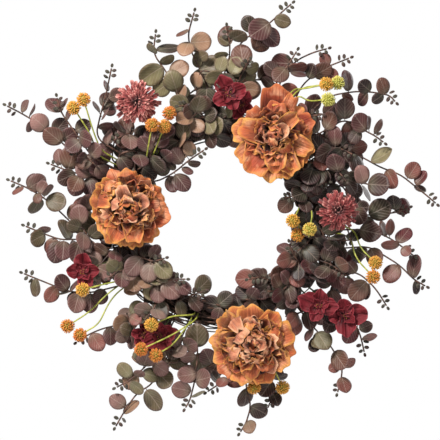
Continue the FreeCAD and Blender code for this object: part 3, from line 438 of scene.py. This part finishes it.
# Leaves that stand out from their pick: millimetres from the ring's centre, and the dye.
odd_leaves = [
    (-297, 157, "pink"), (-246, 100, "brown"), (-272, 28, "olive"), (-310, 14, "olive"),
    (-256, -20, "olive"), (-305, 59, "mauve"), (-206, -68, "grey"), (-206, -105, "grey"),
    (-118, -92, "grey"), (-92, -77, "sage"), (-175, -75, "sage"), (-143, -110, "tan"),
    (-115, -115, "sage"), (-141, -71, "mauve"), (-54, -80, "brown"), (-80, -112, "mauve"),
    (-205, -202, "rose"), (-182, -192, "plum"), (-148, -266, "tan"), (-149, -300, "tan"),
    (-174, -298, "pink"), (-64, -279, "mauve"), (-56, -256, "mauve"), (-108, -300, "olive"),
    (-33, -235, "olive"), (-39, -192, "olive"), (-92, -264, "olive"), (261, 15, "dark_olive"),
    (264, 102, "sage"), (230, 72, "pink"), (299, 20, "wine"), (282, 39, "wine"), (280, 67, "rose"),
    (315, 80, "rose"), (336, 74, "wine"), (282, -89, "rose"), (190, -97, "plum"),
    (148, -61, "dark_olive"), (166, -198, "sage"), (195, -231, "brown"), (202, -272, "rose"),
    (47, -341, "tan"), (-113, 239, "sage"), (-77, 223, "sage"), (24, 250, "sage"), (31, 215, "tan"),
    (51, 212, "tan"), (-34, 290, "tan"), (-57, 279, "tan"), (-61, 249, "tan"), (27, 297, "olive"),
    (-16, 249, "olive"), (-85, 279, "dark_olive"), (98, 257, "plum"), (64, 310, "plum"),
    (79, 299, "plum"), (-53, 53, "olive"), (-97, 86, "dark_olive"), (-75, 108, "mauve"),
    (-52, 114, "tan"), (-74, 134, "mauve"), (28, -93, "rose"), (62, -96, "umber"),
    (103, 25, "brown"), (89, -46, "rose"), (104, -66, "rose"), (-226, -6, "olive"),
    (171, 113, "umber"), (203, 186, "umber"), (228, 157, "plum"),
]

leaf_cloth, leaf_shader, paint = new_material("leaf_cloth", 0.5, 0.08)
leaf_shader.inputs["Specular IOR Level"].default_value = 0.38
# Each leaf's colour as kept on its points: its dye, which on leaves deep in the ring is partly painted
# shade.
dye_and_shade = named(paint, "dye_and_shade", "Color")
along = named(paint, "along")
across = named(paint, "across")
far = named(paint, "far_out")
mottle = speckle(paint, 75.0, 4.0)
weave = speckle(paint, 700.0, 2.0)
midrib = 1 - abs(across).rise(0.0, 0.07)
slant = along * 5.2 - abs(across) * 3.4
side_veins = 1 - abs(slant.maths("FRACT") - 0.5).rise(0.02, 0.16)
veins = paint.maths("MAXIMUM", midrib * 0.8, side_veins * 0.38)
darker = paint.add("ShaderNodeMix", {"data_type": "RGBA", "blend_type": "MULTIPLY"},
                   {0: 1.0, 6: dye_and_shade, 7: colour("B09A90")}, 2)
tone = (mottle * 1.1 - 0.05).blend(dye_and_shade, darker)
tone = (along.rise(0.0, 0.55, 1.0, 0.0) * 0.35).blend(tone, colour("6E7058"))
tone = (far.rise(0.72, 1.0) * 0.3).blend(tone, colour("5A3236"))
tone = (veins * 0.42).blend(tone, colour("B7A294"))
shown(paint, leaf_shader, tone)
paint.tree.links.new((mottle * 0.24 + 0.36).socket, leaf_shader.inputs["Roughness"])
emboss(paint, leaf_shader, veins * -0.7 + weave * 0.25 + mottle * 0.5, 0.0007)

# Leaves under this radius are buds. An odd leaf's place reaches this far, and leaves at the
# back of this band round the ring, both in millimetres, are mostly near black: partly dark
# dye, partly painted shade.
bud_radius = 0.005
odd_reach = 11
dark_dye_and_shade_band = (118, 200)
deep_shade_plane = -0.068


def dye_and_shade_for(pick, centre, radius, chance):
    """A leaf's dye: that of an odd leaf close by, or the pick's mix, and deep in the ring mostly a near
    black one, partly as painted shade.
    """
    x = (centre.x - ring_centre.x) * 1000
    z = (centre.z - ring_centre.z) * 1000
    if radius < bud_radius:
        return leaf_dyes["bud" if pick in ("top", "left") or chance.random() < 0.5 else "bud_plum"]
    near = min(odd_leaves, key=lambda leaf: math.hypot(leaf[0] - x, leaf[1] - z))
    if math.hypot(near[0] - x, near[1] - z) < odd_reach:
        return leaf_dyes[near[2]]
    deep_in_shade = dark_dye_and_shade_band[0] < math.hypot(x, z) < dark_dye_and_shade_band[1] and centre.y > deep_shade_plane
    # Deep in the ring most leaves take a near black dye: partly their dark colour, partly painted shade.
    if deep_in_shade and chance.random() < 0.85:
        return leaf_dyes[chance.choice(["black", "umber", "dark_olive", "black"])]
    return leaf_dyes[chance.choice(pick_dyes[pick].split())]


def disc_point(a, b):
    """A square's point moved into the unit disc, so that a grid becomes a round blade."""
    return a * math.sqrt(1 - b * b / 2), b * math.sqrt(1 - a * a / 2)


def press_leaf(bm, values, hold, centre, normal, radius, dye_and_shade_code, chance):
    """One leaf at its blade's place: a round sheet, folded and cupped, and its stalk."""
    axis = (centre - hold).normalized()
    side = normal.cross(axis).normalized()
    small = radius < bud_radius
    if not small:
        fuller = radius * (1.24 if radius < 0.009 else 1.12)
        centre = centre + axis * ((fuller - radius) * 0.7)
        radius = fuller
    cells = 3 if small else 6
    sheet = bmesh.ops.create_grid(bm, x_segments=cells, y_segments=cells, size=1)["verts"]
    cup = chance.uniform(-0.16, 0.22)
    fold = chance.uniform(0.02, 0.2)
    droop = chance.uniform(-0.2, 0.12)
    wave = chance.uniform(0.01, 0.05)
    phase = chance.uniform(0, 6.28)
    slim = chance.uniform(0.9, 1.0) if not small else 0.72
    point = chance.uniform(0.02, 0.1)
    for v in sheet:
        a, b = disc_point(v.co.x, v.co.y)
        rho = math.hypot(a, b)
        lift = cup * rho * rho + fold * abs(a) * (1 - 0.4 * rho) + droop * max(b, 0) ** 2
        lift += wave * rho * rho * math.sin(3 * math.atan2(b, a) + phase)
        reach = b + point * max(b, 0) * (1 - abs(a)) ** 2 - 0.05 * (1 - abs(a)) * (b < -0.8)
        v[values["across"]] = a
        v[values["along"]] = (b + 1) / 2
        v[values["far_out"]] = rho
        v[values["dye_and_shade"]] = dye_and_shade_code
        v.co = centre + side * (a * radius * slim) + axis * (reach * radius) + normal * (lift * radius)
    stalk_end = centre - axis * (radius * 0.86)
    length = (stalk_end - hold).length
    if length > 0.0006 and not small:
        thick = 0.0006
        made = bmesh.ops.create_cone(bm, segments=5, radius1=thick, radius2=thick * 0.6, depth=length,
                                     cap_ends=True)["verts"]
        turn = (stalk_end - hold).to_track_quat("Z", "Y").to_matrix().to_4x4()
        bmesh.ops.transform(bm, verts=made, matrix=Matrix.Translation((hold + stalk_end) / 2) @ turn)
        for v in made:
            v[values["dye_and_shade"]] = colour("5C4A40")
            v[values["along"]] = 1.0
            v[values["across"]] = 0.5


def blade_values(bm):
    """The values that a sheet keeps on its points for its dye, veins and rim; on leaves deep in the ring
    the dye is partly painted shade.
    """
    values = {name: bm.verts.layers.float.new(name) for name in ("across", "along", "far_out", "hue")}
    values["dye_and_shade"] = bm.verts.layers.float_color.new("dye_and_shade")
    return values


for pick in pick_dyes:
    chance = random.Random("eucalyptus " + pick)
    bm = bmesh.new()
    values = blade_values(bm)
    for hold, centre, normal, radius in read_blades(f"eucalyptus_{pick}_leaves"):
        shade = chance.uniform(0.74, 1.16)
        press_leaf(bm, values, hold, centre, normal, radius,
                   colour(dye_and_shade_for(pick, centre, radius, chance), shade), chance)
    piece(f"eucalyptus_{pick}_cut_leaves", bm, leaf_cloth, "root",
          [f"eucalyptus_{pick}_leaves"], thickness=0.00045)

# ---------------------------------------------------------------- peonies
# Three large heads of dyed silk petals, heat-pressed so that their rims ruffle and roll
# back. Big open petals lie behind, cupped ones stand before them, and small folded ones
# crowd the heart. Each head is threaded on its calyx and tips with it.

head_place = {joint["child"]: Vector(joint["pos_m"]) for joint in frame["joints"]}

petal_silk, petal_shader, paint = new_material("petal_silk", 0.62, 0.2)
along = named(paint, "along")
across = named(paint, "across")
hue = named(paint, "hue")
far = named(paint, "far_out")
streak_place = paint.add("ShaderNodeCombineXYZ", {}, {"X": across * 9, "Y": along * 1.2, "Z": hue * 17})
streaks = paint.add("ShaderNodeTexNoise", {}, {"Vector": streak_place, "Scale": 1.6, "Detail": 4.0})
clouds = speckle(paint, 48.0, 4.0)
weave = speckle(paint, 1100.0, 2.0)
body_tone = hue.rise(0.1, 0.45).blend(colour("9C3A1E"), colour("BE5E30"))
body_tone = hue.rise(0.5, 0.75).blend(body_tone, colour("CF7C4C"))
body_tone = hue.rise(0.8, 0.9).blend(body_tone, colour("CC8060"))
rim_tone = hue.rise(0.25, 0.55).blend(colour("C9703A"), colour("DB9A42"))
rim_tone = hue.rise(0.7, 0.86).blend(rim_tone, colour("EAB88E"))
# Pale peach patches over the petal faces are painted highlights.
tone = (clouds.rise(0.46, 0.66) * 0.55).blend(body_tone, colour("EEB48A"))
tone = (streaks.rise(0.46, 0.66) * 0.6).blend(tone, colour("80301A"))
# Towards each petal's base the colour goes to near black: partly the dye's deeper red, partly painted shade
# where the petals crowd.
tone = (along + clouds * 0.7).rise(0.68, 1.25).blend(colour("2E0803"), tone)
tone = ((far + streaks * 0.15 + clouds * 0.45).rise(1.04, 1.4) * 0.85).blend(tone, rim_tone)
shown(paint, petal_shader, tone)
emboss(paint, petal_shader, streaks * 1.2 + weave * 0.12 + clouds * 0.9, 0.0026)


def curve(start, belly, end, t):
    """A point and the direction of a simple curve through a belly."""
    place = start * (1 - t) ** 2 + belly * (2 * t * (1 - t)) + end * t * t
    return place, ((belly - start) * (1 - t) + (end - belly) * t).normalized()


def silk_petal(bm, values, centre, petal, seed):
    """One pressed petal of a head that faces the front. Lengths are in millimetres."""
    turn = math.radians(petal["turn"])
    out = Vector((math.cos(turn), 0, math.sin(turn)))
    ahead = Vector((0, -1, 0))
    side = out.cross(ahead).normalized()
    twist = math.radians(petal.get("twist", 0))
    start, belly, end = (Vector(petal[key]) for key in ("start", "belly", "end"))
    aside = Vector((petal["aside"][0], 0, petal["aside"][1]))
    half = petal["width"] / 2
    chance = random.Random(seed)
    phase = [chance.uniform(0, 6.28) for _ in range(5)]
    waves = chance.choice([5, 6, 7])
    bend = chance.uniform(-0.1, 0.1)
    for v in bmesh.ops.create_grid(bm, x_segments=11, y_segments=12, size=1)["verts"]:
        rho = (v.co.x ** 6 + v.co.y ** 6) ** (1 / 6)
        a, b = disc_point(v.co.x, v.co.y)
        a, b = 0.5 * a + 0.5 * v.co.x, 0.64 * b + 0.36 * v.co.y
        angle = math.atan2(a, b)
        t = (b + 1) / 2
        rim = rho ** 4 * min(max(b + 0.5, 0) * 1.5, 1)
        scallop = 0.032 * math.sin(waves * angle + phase[0]) + 0.009 * math.sin(11 * angle + phase[1])
        scallop *= rim
        narrow = 1 - 0.5 * max(-b, 0) ** 1.3
        place, run = curve(start, belly, end, t * (1 + scallop))
        lift = petal["cup"] * half * a * a + petal["fold"] * half * abs(a) * t
        ripple = math.sin(waves * angle + phase[2]) + 0.22 * math.sin(11 * angle + phase[3])
        lift += petal["ruffle"] * rho ** 3 * ripple * min(t * 1.6, 1)
        lift -= petal["curl"] * max(0.0, (rho - 0.7) / 0.3) ** 2 * max(b + 0.3, 0)
        crumple = 2.6 * noise.noise(Vector((a * 1.3, b * 1.3, seed * 1.37)))
        crumple += noise.noise(Vector((a * 3.0, b * 2.0, seed * 2.11)))
        lift += crumple * (0.25 + 0.75 * t)
        spot = place + Vector((-run.y, run.x)) * lift
        swing = side * math.cos(twist * t) + ahead * math.sin(twist * t)
        v[values["across"]] = a
        v[values["along"]] = t
        v[values["far_out"]] = rho
        v[values["hue"]] = petal["hue"]
        reach = a * narrow * (1 + scallop) * half + bend * half * t
        v.co = centre + (out * spot.x + ahead * spot.y + swing * reach + aside * t * t) / 1000


# The open petals behind: degrees round the head, reach, width and how pale.
peony_rims = {
    "left": [(-80, 67, 31, 0.62), (-121, 64, 48, 0.6), (-52, 66, 40, 0.45), (-14, 68, 42, 0.25),
             (6, 58, 36, 0.3), (24, 60, 42, 0.5), (62, 58, 38, 0.35), (95, 62, 38, 0.4),
             (118, 69, 32, 0.25), (141, 66, 38, 0.6), (165, 66, 40, 0.65), (188, 62, 38, 0.6),
             (212, 61, 38, 0.55)],
    "upper_right": [(88, 80, 52, 0.2), (66, 70, 30, 0.35), (171, 70, 44, 0.66), (48, 62, 32, 0.72),
                    (20, 68, 38, 0.15), (-6, 62, 42, 0.5), (-27, 70, 38, 0.4), (-48, 68, 40, 0.6),
                    (-68, 73, 42, 0.62), (-95, 74, 46, 0.62), (-124, 75, 52, 0.42),
                    (-148, 72, 38, 0.6), (134, 58, 34, 0.3)],
    "bottom": [(96, 64, 50, 0.62), (54, 66, 38, 0.5), (20, 70, 44, 0.55), (-6, 68, 42, 0.35),
               (-30, 66, 40, 0.5), (-67, 67, 42, 0.45), (-90, 62, 36, 0.4), (-108, 66, 40, 0.64),
               (-142, 71, 42, 0.28), (-165, 67, 42, 0.6), (172, 69, 38, 0.55), (142, 71, 40, 0.6),
               (120, 68, 40, 0.58)],
}
# Petals that show in front of them: where each blade's middle is, its width, its height, how
# it stands (lay: opens to the front, stand: rim to the front, fold: curls over the heart) and
# how pale it is.
peony_folds = {
    "left": [(-37, 44, 38, 34, "fold", 0.72), (-4, 52, 34, 33, "stand", 0.15),
             (34, 34, 34, 34, "stand", 0.4), (50, 2, 32, 30, "fold", 0.1),
             (42, -30, 36, 30, "stand", 0.3), (10, -46, 34, 30, "lay", 0.45),
             (-24, -44, 36, 32, "lay", 0.55), (-50, -12, 32, 32, "stand", 0.6),
             (-50, 16, 30, 34, "fold", 0.5), (21, 12, 30, 48, "lay", 0.9),
             (-28, 10, 30, 46, "fold", 0.95), (-14, -12, 24, 48, "stand", 0.8),
             (-10, 28, 26, 47, "lay", 0.86), (4, -22, 26, 44, "fold", 0.1),
             (24, -16, 24, 46, "stand", 0.75), (0, 8, 20, 52, "lay", 0.92),
             (-34, 30, 26, 42, "stand", 0.4)],
    "upper_right": [(-46, 10, 38, 34, "lay", 0.5), (-24, 30, 32, 38, "stand", 0.3),
                    (30, 28, 26, 44, "lay", 0.66), (46, 12, 30, 34, "stand", 0.2),
                    (50, -22, 34, 30, "lay", 0.62), (24, -28, 38, 42, "fold", 0.45),
                    (-36, -42, 40, 30, "lay", 0.2), (-50, -26, 30, 30, "stand", 0.72),
                    (0, -50, 36, 30, "lay", 0.5), (26, -54, 34, 28, "lay", 0.6),
                    (14, 8, 28, 50, "lay", 0.88), (-16, -6, 20, 50, "stand", 0.9),
                    (-4, -18, 18, 48, "stand", 0.12), (-6, 2, 18, 52, "fold", 0.1),
                    (6, 26, 26, 44, "stand", 0.9), (-22, -22, 26, 42, "stand", 0.1),
                    (0, 44, 36, 30, "lay", 0.15)],
    "bottom": [(-44, 42, 30, 33, "stand", 0.7), (-34, 44, 26, 39, "fold", 0.86),
               (-10, 48, 38, 34, "fold", 0.7), (22, 42, 32, 34, "stand", 0.55),
               (46, 22, 34, 32, "fold", 0.5), (34, 6, 28, 42, "stand", 0.95),
               (50, -10, 30, 30, "stand", 0.1), (-24, 20, 32, 46, "fold", 0.92),
               (-8, 0, 26, 52, "lay", 0.9), (12, 2, 24, 51, "lay", 0.86),
               (18, -20, 28, 46, "stand", 0.8), (8, -30, 26, 42, "fold", 0.6),
               (-16, -22, 24, 44, "stand", 0.6), (-40, -14, 28, 38, "fold", 0.88),
               (-52, 8, 30, 32, "stand", 0.7), (-40, -38, 34, 30, "stand", 0.2),
               (-6, -46, 32, 30, "lay", 0.55), (28, -44, 36, 30, "fold", 0.4),
               (4, 24, 24, 46, "stand", 0.4)],
}

# How pale the seeded petals between them can be.
silk_mixes = {"left": (0.2, 0.4, 0.55, 0.66, 0.74, 0.88), "upper_right": (0.1, 0.3, 0.45, 0.6, 0.66, 0.8),
              "bottom": (0.25, 0.5, 0.6, 0.74, 0.84, 0.92)}
silk_thickness = 0.0005
# The heart's small petals go round in steps of this many degrees. A petal further out than
# middle_edge, in millimetres, belongs to the middle row.
heart_step = 137.5
heart_count = 19
middle_edge = 30

for number, (name, rims) in enumerate(peony_rims.items()):
    body = f"peony_{name}_head"
    centre = head_place[body]
    chance = random.Random("peony " + name)
    bm = bmesh.new()
    values = blade_values(bm)
    for i, (turn, reach, width, hue_value) in enumerate(rims):
        silk_petal(bm, values, centre, {
            "turn": turn, "start": (5, 8 + i % 2), "belly": (reach * 0.5, 9 + 4 * (i % 3)),
            "end": (reach, 15 + 6 * ((i + 1) % 3) + max(reach - 66, 0) + chance.uniform(-2, 2)),
            "aside": (0, 0), "width": width,
            "cup": chance.uniform(0.05, 0.35), "ruffle": chance.uniform(1.6, 3.0),
            "curl": chance.uniform(-2, 5), "fold": chance.uniform(-0.15, 0.3), "hue": hue_value},
            number * 100 + i)
    piece(f"peony_{name}_open_petals", bm, petal_silk, body, [f"peony_{name}_outer_petals"],
          thickness=silk_thickness, smooth=1)
    rows = {"middle_petals": [], "centre_petals": []}
    for x, z, width, high, stance, hue_value in peony_folds[name]:
        away = math.hypot(x, z)
        turn = math.degrees(math.atan2(z, x))
        row = rows["middle_petals" if away > middle_edge else "centre_petals"]
        if stance == "lay":
            inner = 0.3 if away > middle_edge else 0.75
            shape = ((away * inner + 2, high * 0.9), (away + width * 0.34, high - 1))
        elif stance == "stand":
            shape = ((away * 1.05, high * 0.35), (away * 1.02, high))
        else:
            shape = ((away * 1.5 + 6, high * 0.75), (away * 0.55, high + 3))
        row.append((turn, shape, width * (0.92 if away < middle_edge else 1.05), hue_value, (0, 0),
                    chance.uniform(-15, 15)))
    for count, reach, high, width in ((10, 52, 26, 30), (11, 43, 35, 26), (10, 35, 41, 22)):
        first = chance.uniform(0, 360)
        for i in range(count):
            out = reach * chance.uniform(0.88, 1.1)
            up = high * chance.uniform(0.9, 1.1)
            rows["middle_petals"].append((
                first + 360 * (i + chance.uniform(-0.35, 0.35)) / count,
                ((out * chance.uniform(0.7, 1.15), up * 0.5), (out, up)),
                width * chance.uniform(0.85, 1.15),
                chance.choice(silk_mixes[name]), (chance.uniform(-5, 5), chance.uniform(-5, 5)),
                chance.uniform(-35, 35)))
    for i in range(heart_count):
        out = 28 * math.sqrt((i + 0.5) / heart_count)
        up = 52 - 0.25 * out * chance.uniform(0.6, 1.6)
        rows["centre_petals"].append((
            heart_step * i + chance.uniform(-25, 25),
            ((out * chance.uniform(0.9, 1.5) + 8, up * 0.62), (out * chance.uniform(0.4, 1.1), up)),
            chance.uniform(17, 27), chance.choice(silk_mixes[name]),
            (chance.uniform(-6, 6), chance.uniform(-6, 6)), chance.uniform(-60, 60)))
    for row, petals in rows.items():
        bm = bmesh.new()
        values = blade_values(bm)
        for i, (turn, (belly, end), width, hue_value, aside, twist) in enumerate(petals):
            silk_petal(bm, values, centre, {
                "turn": turn, "start": (4, 13 if row == "middle_petals" else 16),
                "belly": belly, "end": end,
                "aside": aside, "width": width, "cup": chance.uniform(0.1, 0.9),
                "ruffle": chance.uniform(1.4, 3.0), "curl": chance.uniform(-3, 5),
                "fold": chance.uniform(-0.4, 0.7), "twist": twist, "hue": hue_value},
                number * 100 + i + (30 if row == "middle_petals" else 60))
        place = "cupped" if row == "middle_petals" else "heart"
        piece(f"peony_{name}_{place}_petals", bm, petal_silk, body,
              [f"peony_{name}_{row}"], thickness=silk_thickness, smooth=1)

# ---------------------------------------------------------------- chrysanthemums
# Two smaller heads of narrow channelled silk quills with rounded tips. The back ones lie
# open, the rest stand up in a dome and curl in towards the middle.

quill_silk, quill_shader, paint = new_material("quill_silk", 0.6, 0.2)
along = named(paint, "along")
across = named(paint, "across")
hue = named(paint, "hue")
clouds = speckle(paint, 60.0, 3.0)
weave = speckle(paint, 1100.0, 2.0)
tone = hue.blend(colour("842A2C"), colour("AE5A54"))
# Towards each quill's root the colour goes to near black: painted shade down in the dome.
tone = (along + clouds * 0.4).rise(0.45, 1.1).blend(colour("3E0E10"), tone)
tone = (along + clouds * 0.4 + hue * 0.25).rise(1.1, 1.4).blend(tone, colour("D99C90"))
# Darker down the middle of each quill: painted shade in its channel.
tone = ((1 - abs(across).rise(0.0, 0.45)) * 0.45).blend(tone, colour("6A1E20"))
shown(paint, quill_shader, tone)
emboss(paint, quill_shader, weave * 0.2 + clouds * 0.5 - (1 - abs(across).rise(0.0, 0.35)) * 0.7, 0.001)


def quill(bm, values, centre, turn, start, belly, end, width, hue, aside, chance):
    """One narrow channelled petal. Lengths are in millimetres."""
    turn = math.radians(turn)
    out = Vector((math.cos(turn), 0, math.sin(turn)))
    ahead = Vector((0, -1, 0))
    side = out.cross(ahead).normalized()
    sway = chance.uniform(-2, 2)
    trough = chance.uniform(0.3, 0.8)
    for v in bmesh.ops.create_grid(bm, x_segments=4, y_segments=7, size=1)["verts"]:
        u, t = v.co.x, (v.co.y + 1) / 2
        half = width / 2 * (0.55 + 0.45 * math.sin(math.pi * min(t / 0.75, 1) / 2))
        if t > 0.75:
            half *= math.sqrt(1 - ((t - 0.75) / 0.262) ** 2)
        place, run = curve(Vector(start), Vector(belly), Vector(end), t)
        spot = place + Vector((-run.y, run.x)) * (trough * half * u * u * 2)
        v[values["across"]] = u
        v[values["along"]] = t
        v[values["hue"]] = hue
        swing = side * (u * half + sway * t * t)
        v.co = centre + (out * spot.x + ahead * spot.y + swing + aside * t) / 1000


# Each head: how many quills, where its dome leans to, and how pale its dye is. The quills go
# round in steps of quill_step degrees.
mum_heads = {"upper_left": (124, (1, -5), 0.6), "right": (110, (2, 3), 0.3)}
quill_step = 137.508
for name, (count, (lean_x, lean_z), pale) in mum_heads.items():
    body = f"mum_{name}_head"
    centre = head_place[body]
    low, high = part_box(f"mum_{name}_outer_petals")
    rim = (high.x - low.x) / 2 * 1000
    chance = random.Random("mum " + name)
    rows = {"outer_petals": bmesh.new(), "centre_petals": bmesh.new()}
    held = {row: blade_values(bm) for row, bm in rows.items()}
    for k in range(count):
        share = math.sqrt((k + 0.5) / count)
        row = "outer_petals" if share > 0.84 else "centre_petals"
        out = rim * share * chance.uniform(0.95, 1.06)
        root = max(out - 22, 1.5)
        if share > 0.4:
            low_end, mid, up = (12 + 28 * math.sqrt(max(1 - (r / rim) ** 2, 0))
                                for r in (root, (root + out) / 2, out))
            root = (root, low_end - 10)
            belly = ((root[0] + out) / 2 + 2, mid + 2.5)
            up += chance.uniform(0, 4.5)
        else:
            up = 41 + chance.uniform(-2, 1.5)
            root, belly, out = (1 + 5 * share, 15), (out * 1.35 + 4.5, 31), out * 0.85
        aside = Vector((lean_x, 0, lean_z)) * (1 - share)
        aside += Vector((chance.uniform(-1, 1), 0, chance.uniform(-1, 1)))
        quill(rows[row], held[row], centre, quill_step * k + chance.uniform(-9, 9), root, belly, (out, up),
              chance.uniform(6.0, 7.6) if share > 0.3 else chance.uniform(4.6, 5.8),
              min(max(pale + chance.uniform(-0.3, 0.4), 0), 1), aside, chance)
    for row, bm in rows.items():
        place = "open" if row == "outer_petals" else "inner"
        piece(f"mum_{name}_{place}_quills", bm, quill_silk, body,
              [f"mum_{name}_{row}"], thickness=0.0006, smooth=1)

# ---------------------------------------------------------------- burgundy blossoms
# Blossoms of crumpled, velvet-faced cloth: four petals, four smaller ones before them, and a
# few dark stamens glued in the eye. They stay still on their stems.

velvet, velvet_shader, paint = new_material("velvet", 0.7, 0.25)
velvet_shader.inputs["Sheen Tint"].default_value = colour("B84858")
velvet_shader.inputs["Sheen Roughness"].default_value = 0.4
along = named(paint, "along")
far = named(paint, "far_out")
clouds = speckle(paint, 55.0, 4.0)
nap = speckle(paint, 1500.0, 2.0)
shaded_creases = 1 - abs(named(paint, "across")).rise(0.0, 0.16)
fan = named(paint, "hue") * 3 + abs(named(paint, "across")) * 5
# Towards each petal's base the colour goes to near black: painted shade round the blossom's eye.
tone = (along + clouds * 0.5).rise(0.3, 0.95).blend(colour("2C050B"), colour("6A121C"))
tone = (clouds.rise(0.52, 0.75) * 0.5).blend(tone, colour("8A2430"))
tone = (far + clouds * 0.3).rise(1.0, 1.22).blend(tone, colour("9A3A42"))
# Darker along each petal's middle crease: painted shade.
tone = (shaded_creases * 0.5).blend(tone, colour("42080F"))
shown(paint, velvet_shader, tone)
emboss(paint, velvet_shader, clouds + (fan * 4).maths("SINE") * 0.12 - shaded_creases * 0.5 + nap * 0.1, 0.003)

stamen_wax, stamen_shader, paint = new_material("stamen_wax", 0.5)
shown(paint, stamen_shader, speckle(paint, 500.0).rise(0.3, 0.7).blend(colour("3A1A10"), colour("A87A2C")))

petals_per_blossom = 4
for cluster in ("lower_right", "top", "left", "lower_left"):
    chance = random.Random("blossom " + cluster)
    bm = bmesh.new()
    values = blade_values(bm)
    eye_bm = bmesh.new()
    for i, (hold, centre, normal, radius) in enumerate(read_blades(f"blossoms_{cluster}_petals")):
        axis = (centre - hold).normalized()
        side = normal.cross(axis).normalized()
        for layer, (share, rise, slim) in enumerate(((1.08, 0.0, 1.0), (0.62, 0.26, 0.9))):
            cup, ripple = chance.uniform(0.05, 0.3), chance.uniform(0.1, 0.17)
            phase, second = chance.uniform(0, 6.28), chance.uniform(0, 6.28)
            swing = math.radians(chance.uniform(-14, 14) + 40 * layer)
            way = axis * math.cos(swing) + side * math.sin(swing)
            beside = side * math.cos(swing) - axis * math.sin(swing)
            for v in bmesh.ops.create_grid(bm, x_segments=10, y_segments=10, size=1)["verts"]:
                a, b = disc_point(v.co.x, v.co.y)
                rho, angle = math.hypot(a, b), math.atan2(a, b)
                lift = (cup + rise * 1.4) * rho * rho + rise * (b + 1) / 2
                waves = math.sin(4 * angle + phase) + 0.6 * math.sin(7 * angle + second)
                lift += ripple * rho * rho * waves
                lift += 0.3 * noise.noise(Vector((a * 1.5, b * 1.5, i + phase)))
                lift -= 0.2 * (1 - min(abs(a) * 3, 1)) * (b + 1) / 2
                point = 0.1 * max(b, 0) ** 2 * (1 - abs(a)) + 0.05 * rho ** 4 * math.sin(6 * angle + second)
                narrow = 1 - 0.45 * max(-b, 0) ** 1.2
                v[values["along"]] = (b + 1) / 2
                v[values["across"]] = a
                v[values["far_out"]] = rho
                v[values["hue"]] = (i % 7) / 7
                size = radius * share
                reach = (b + 1) * size * (1 + point) - radius * 0.16
                v.co = hold + beside * (a * size * slim * narrow) + way * reach + normal * (lift * size)
        if i % petals_per_blossom == 0:
            hub = hold - axis * 0.002
            for k in range(9):
                tilt = Vector((chance.uniform(-0.6, 0.6), -1, chance.uniform(-0.6, 0.6))).normalized()
                length = chance.uniform(0.005, 0.008)
                rod = bmesh.ops.create_cone(eye_bm, segments=5, radius1=0.0003, radius2=0.0003,
                                            depth=length, cap_ends=True)["verts"]
                tip = bmesh.ops.create_icosphere(eye_bm, subdivisions=1, radius=0.0008)["verts"]
                bmesh.ops.translate(eye_bm, verts=tip, vec=(0, 0, length / 2))
                turn = tilt.to_track_quat("Z", "Y").to_matrix().to_4x4()
                place = Matrix.Translation(hub + tilt * (0.002 + length / 2)) @ turn
                bmesh.ops.transform(eye_bm, verts=rod + tip, matrix=place)
    piece(f"blossoms_{cluster}_velvet_petals", bm, velvet, "root",
          [f"blossoms_{cluster}_petals"], thickness=0.0006, smooth=1)
    piece(f"blossoms_{cluster}_stamens", eye_bm, stamen_wax, "root", [])

# ---------------------------------------------------------------- pompom sprays
# Moulded heads of short blunt spikes, yellow green at the root and dusted orange at the
# tips, one on each yellow green stem.

spike_dust, spike_shader, paint = new_material("spike_dust", 0.65)
along = named(paint, "along")
hue = named(paint, "hue")
clouds = speckle(paint, 150.0, 3.0)
root_tone = hue.blend(colour("8E7A2C"), colour("9C9A3C"))
tip_tone = hue.rise(0.0, 0.5).blend(colour("CC6C34"), colour("DCA648"))
tip_tone = hue.rise(0.6, 0.9).blend(tip_tone, colour("CBC668"))
tone = (along + clouds * 0.5).rise(0.3, 0.8).blend(root_tone, tip_tone)
shown(paint, spike_shader, tone)
emboss(paint, spike_shader, clouds, 0.0004)

# How yellow each head of a spray is, from orange at 0 to lime at 1.
spray_hues = {
    "upper_left": [0.35, 0.3, 0.2, 0.25, 0.15],
    "upper_right": [0.45, 0.9, 0.95],
    "right": [0.5, 0.3, 0.75, 0.4, 0.25],
    "lower_left": [0.4, 0.2, 0.15, 0.45, 0.15, 0.2, 0.35, 0.4],
}
spikes_on_head = 120
golden_angle = math.pi * (3 - math.sqrt(5))


def read_balls(node_name):
    """The centre and the radius of each round head in a node."""
    for points in read_islands(node_name):
        low, high = points.min(0), points.max(0)
        yield Vector((low + high) / 2), (high[0] - low[0]) / 2


for spray, hues in spray_hues.items():
    chance = random.Random("pompom " + spray)
    bm = bmesh.new()
    values = blade_values(bm)
    for head, (centre, radius) in enumerate(read_balls(f"pompoms_{spray}_heads")):
        core = bmesh.ops.create_icosphere(bm, subdivisions=2, radius=radius * 0.66)["verts"]
        bmesh.ops.translate(bm, verts=core, vec=centre)
        for v in core:
            v[values["hue"]] = hues[head % len(hues)]
        for k in range(spikes_on_head):
            height = 1 - 2 * (k + 0.5) / spikes_on_head
            ring = math.sqrt(1 - height * height)
            turn = golden_angle * k
            way = Vector((ring * math.cos(turn), ring * math.sin(turn), height))
            stray = Vector((chance.uniform(-1, 1), chance.uniform(-1, 1), chance.uniform(-1, 1)))
            way = (way + stray * 0.1).normalized()
            length = radius * chance.uniform(0.34, 0.5)
            spike = bmesh.ops.create_cone(bm, segments=5, radius1=0.0009, radius2=0.00085, depth=length,
                                          cap_ends=True)["verts"]
            for v in spike:
                v[values["along"]] = 1.0 if v.co.z > 0 else 0.0
                v[values["hue"]] = min(max(hues[head % len(hues)] + chance.uniform(-0.2, 0.2), 0), 1)
            stand = way.to_track_quat("Z", "Y").to_matrix().to_4x4()
            place = Matrix.Translation(centre + way * (radius * 0.55 + length / 2)) @ stand
            bmesh.ops.transform(bm, verts=spike, matrix=place)
    piece(f"pompoms_{spray}_spiky_heads", bm, spike_dust, "root",
          [f"pompoms_{spray}_heads"])
